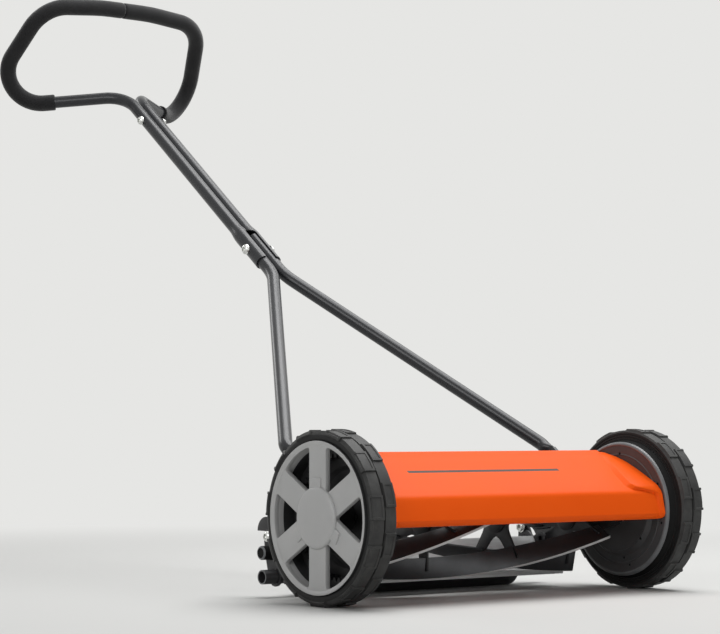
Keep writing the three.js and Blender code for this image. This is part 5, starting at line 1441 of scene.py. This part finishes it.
half = half_loop(SHELL_TOP - 2)
whole = half + [Vector((-p.x, p.y, p.z)) for p in reversed(half)]
loop = walled(tube(bent(whole, LOOP_RADII + LOOP_RADII[::-1]), TUBE_RADIUS), TUBE_WALL)
for side in SIDES.values():
    shell = ringed(
        bmesh.new(),
        TUBE_SPACING,
        [
            (SHELL_TOP, TUBE_RADIUS, TUBE_RADIUS),
            (SHELL_TOP - 5, TUBE_RADIUS + 0.2, TUBE_RADIUS + 0.2),
            (SHELL_TOP - 10, TUBE_RADIUS + 0.8, TUBE_RADIUS + 0.8),
            (SHELL_TOP - 15, TUBE_RADIUS + 1.6, TUBE_RADIUS + 1.6),
            (SHELL_TOP - 20, SHELL_RADIUS - 0.2, SHELL_RADIUS - 0.2),
            (SHELL_HIGH, SHELL_RADIUS, SHELL_RADIUS),
            (SHELL_LOW, SHELL_RADIUS, SHELL_RADIUS),
        ],
    )
    slant_run = (SHELL_TOP - SHELL_HIGH) * 0.7
    reach = SHELL_RADIUS + 2
    slant = Vector((slant_run, *(Vector(polar(reach, SHAFT_SLOPE)))))
    planes = [
        (handle_point(TUBE_SPACING, 0), Vector((1, 0, 0))),
        (handle_point(TUBE_SPACING, SHELL_HIGH), slant.normalized()),
    ]
    for point, normal in planes:
        geometry = shell.verts[:] + shell.edges[:] + shell.faces[:]
        bmesh.ops.bisect_plane(shell, geom=geometry, dist=0.001, plane_co=point, plane_no=normal)
    inboard = [
        f
        for f in shell.faces
        if all((f.calc_center_median() - point).dot(normal) < 0 for point, normal in planes)
    ]
    bmesh.ops.delete(shell, geom=inboard, context="FACES")
    join_meshes(loop, [mirrored(walled(shell, SHELL_WALL), side)])
settle(loop, "handle_loop_tube", "handle", "graphite_paint", [graphite_paint], ["handle_loop"])

# Grips: closed-cell foam sleeves pushed over the loop from both ends until they meet at the crown.
# Foam is matt charcoal, pitted with fine pores, softly lit at its edges by its fuzz.
foam, tree, shader, place = new_finish(
    "closed_cell_foam",
    roughness=0.9,
    base_color=colour("#232324"),
    specular_ior_level=0.2,
    sheen_weight=0.5,
    sheen_roughness=0.4,
)
cloud = add(tree, "ShaderNodeTexNoise", {"Scale": every(22), "Detail": 4}, {"Vector": place})
tint = add(tree, "ShaderNodeMix", {"data_type": "RGBA", 6: colour("#1D1D1E"), 7: colour("#2B2B2C")}, {0: cloud.outputs[0]})
tree.links.new(tint.outputs[2], shader.inputs["Base Color"])
pores = add(tree, "ShaderNodeTexVoronoi", {"Scale": every(0.8)}, {"Vector": place})
bump = add(tree, "ShaderNodeBump", {"Strength": 0.4, "Distance": 0.0004}, {"Height": pores.outputs[0]})
tree.links.new(bump.outputs[0], shader.inputs["Normal"])


def after(points, distance):
    """The rest of a line beyond a distance along it."""
    gone = 0
    rest = []
    for a, b in zip(points, points[1:]):
        span = (b - a).length
        if gone < distance < gone + span:
            rest.append(a.lerp(b, (distance - gone) / span))
        if gone + span > distance:
            rest.append(b)
        gone += span
    return rest


for side_name, side in SIDES.items():
    corners = half_loop(SHELL_HIGH)
    corners.append(Vector((GRIP_GAP - side * SEAM_SHIFT, corners[-1].y, corners[-1].z)))
    line = after(bent(corners, LOOP_RADII), UPPER_BOLT + LOOP_TURN - SHELL_HIGH + GRIP_START)
    first = (line[1] - line[0]).normalized()
    last = (line[-1] - line[-2]).normalized()
    starts = [line[0] + first * step for step in (0, 0.7, 2, 4.5)]
    ends = [line[-1] - last * step for step in (4.5, 2, 0.7, 0)]
    path_points = starts + line[1:-1] + ends
    shares = [0.95, 0.985, 1, 1] + [1] * (len(line) - 2) + [1, 0.985, 0.955, 0.9]
    sleeve = walled(tube(path_points, GRIP_RADIUS, 32, shares), GRIP_RADIUS - TUBE_RADIUS - 0.4)
    grip = settle(
        mirrored(sleeve, side),
        "foam_grip_" + side_name,
        "handle",
        "foam_rubber",
        [foam],
        ["grip_" + side_name],
    )

# Fasteners: zinc-plated button-head bolts with lock nuts behind them.
# Each bolt: its CAD node, its body, (y, z), the head's face and the nut's face from the middle, the head's
# radius and length, and the shank's radius.
PLATE_INNER = 211.2
HANDLE_BOLTS = [
    ("lower_handle_bolt", on_shaft(0), 20.7, 7.4, 5, 3.2),
    ("upper_handle_bolt", on_shaft(UPPER_BOLT), 18.6, 6.6, 5, 3.2),
]
SIDE_BOLTS = [
    ("handle_pivot_bolt", "frame", on_shaft(PIVOT_ALONG), 220.6, PLATE_INNER, 8.5, 5.5, 5),
    ("clamp_bolt", "roller_arm", polar(20.9, math.radians(73), *SLEEVE_AXIS), 219.6, PLATE_INNER, 7, 4.4, 4),
    ("bed_bolt", "frame", BED_PIVOT, 215.3, 206.5, 7, 4, 4),
    ("cover_screw", "frame", EAR, 217.9, PLATE_INNER, 6.2, 2.8, 3),
]
BLACK_BOLTS = ("bed_bolt",)


def bolt(bm, at, head_face, nut_face, radius, length, shank):
    """A bolt along X: a domed head with a socket, its shank, and a hexagonal lock nut with a flange."""
    way = 1 if head_face > nut_face else -1
    head = [
        (0, 0),
        (0, radius),
        (0.22, radius),
        (0.5, radius * 0.93),
        (0.82, radius * 0.74),
        (1, radius * 0.5),
        (1, radius * 0.44),
        (0.5, radius * 0.4),
        (0.5, 0),
    ]
    turned(bm, [(head_face + way * length * share, r) for share, r in head], *at, steps=32)
    turned(bm, [(nut_face, 0), (nut_face, shank), (head_face, shank), (head_face, 0)], *at, steps=24)
    flange = [(0, shank), (0, radius), (0.2, radius), (0.3, radius * 0.85), (0.3, shank)]
    turned(bm, [(nut_face - way * length * share, r) for share, r in flange], *at, steps=32, closed=True)
    nut = bmesh.new()
    hexagon = [(0.2, shank), (0.2, radius * 0.92), (0.86, radius * 0.92), (1, radius * 0.8), (1, shank)]
    turned(nut, [(nut_face - way * length * share, r) for share, r in hexagon], *at, steps=6, closed=True)
    join_meshes(bm, [soften(nut, 0.25, 2, 40)])
    return bm


for node, at, face, radius, length, shank in HANDLE_BOLTS:
    made = bolt(bmesh.new(), at, -face, face, radius, length, shank)
    settle(made, node + "_zinc", "handle", "zinc", [zinc], [node])

for node, body, at, face, nut, radius, length, shank in SIDE_BOLTS:
    slot, finish = ("black_paint", black_steel) if node in BLACK_BOLTS else ("zinc", zinc)
    for side_name, side in SIDES.items():
        made = mirrored(bolt(bmesh.new(), at, face, nut, radius, length, shank), side)
        settle(made, node + "_set_" + side_name, body, slot, [finish], [node + "_" + side_name])

# Pieces whose CAD shape is already right take the finish of their real material.
PLAIN_FINISHES = {
    "ring_gear": black_plastic,
    "pinion": black_plastic,
    "pawl": zinc,
    "shaft_clip": zinc,
    "axle_stub": zinc,
    "wheel_retainer": zinc,
    "reel_bearing": black_plastic,
    "tie_rod": black_steel,
}
for name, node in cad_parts.items():
    for stem, finish in PLAIN_FINISHES.items():
        if name.startswith(stem):
            node.data.materials.clear()
            node.data.materials.append(finish)
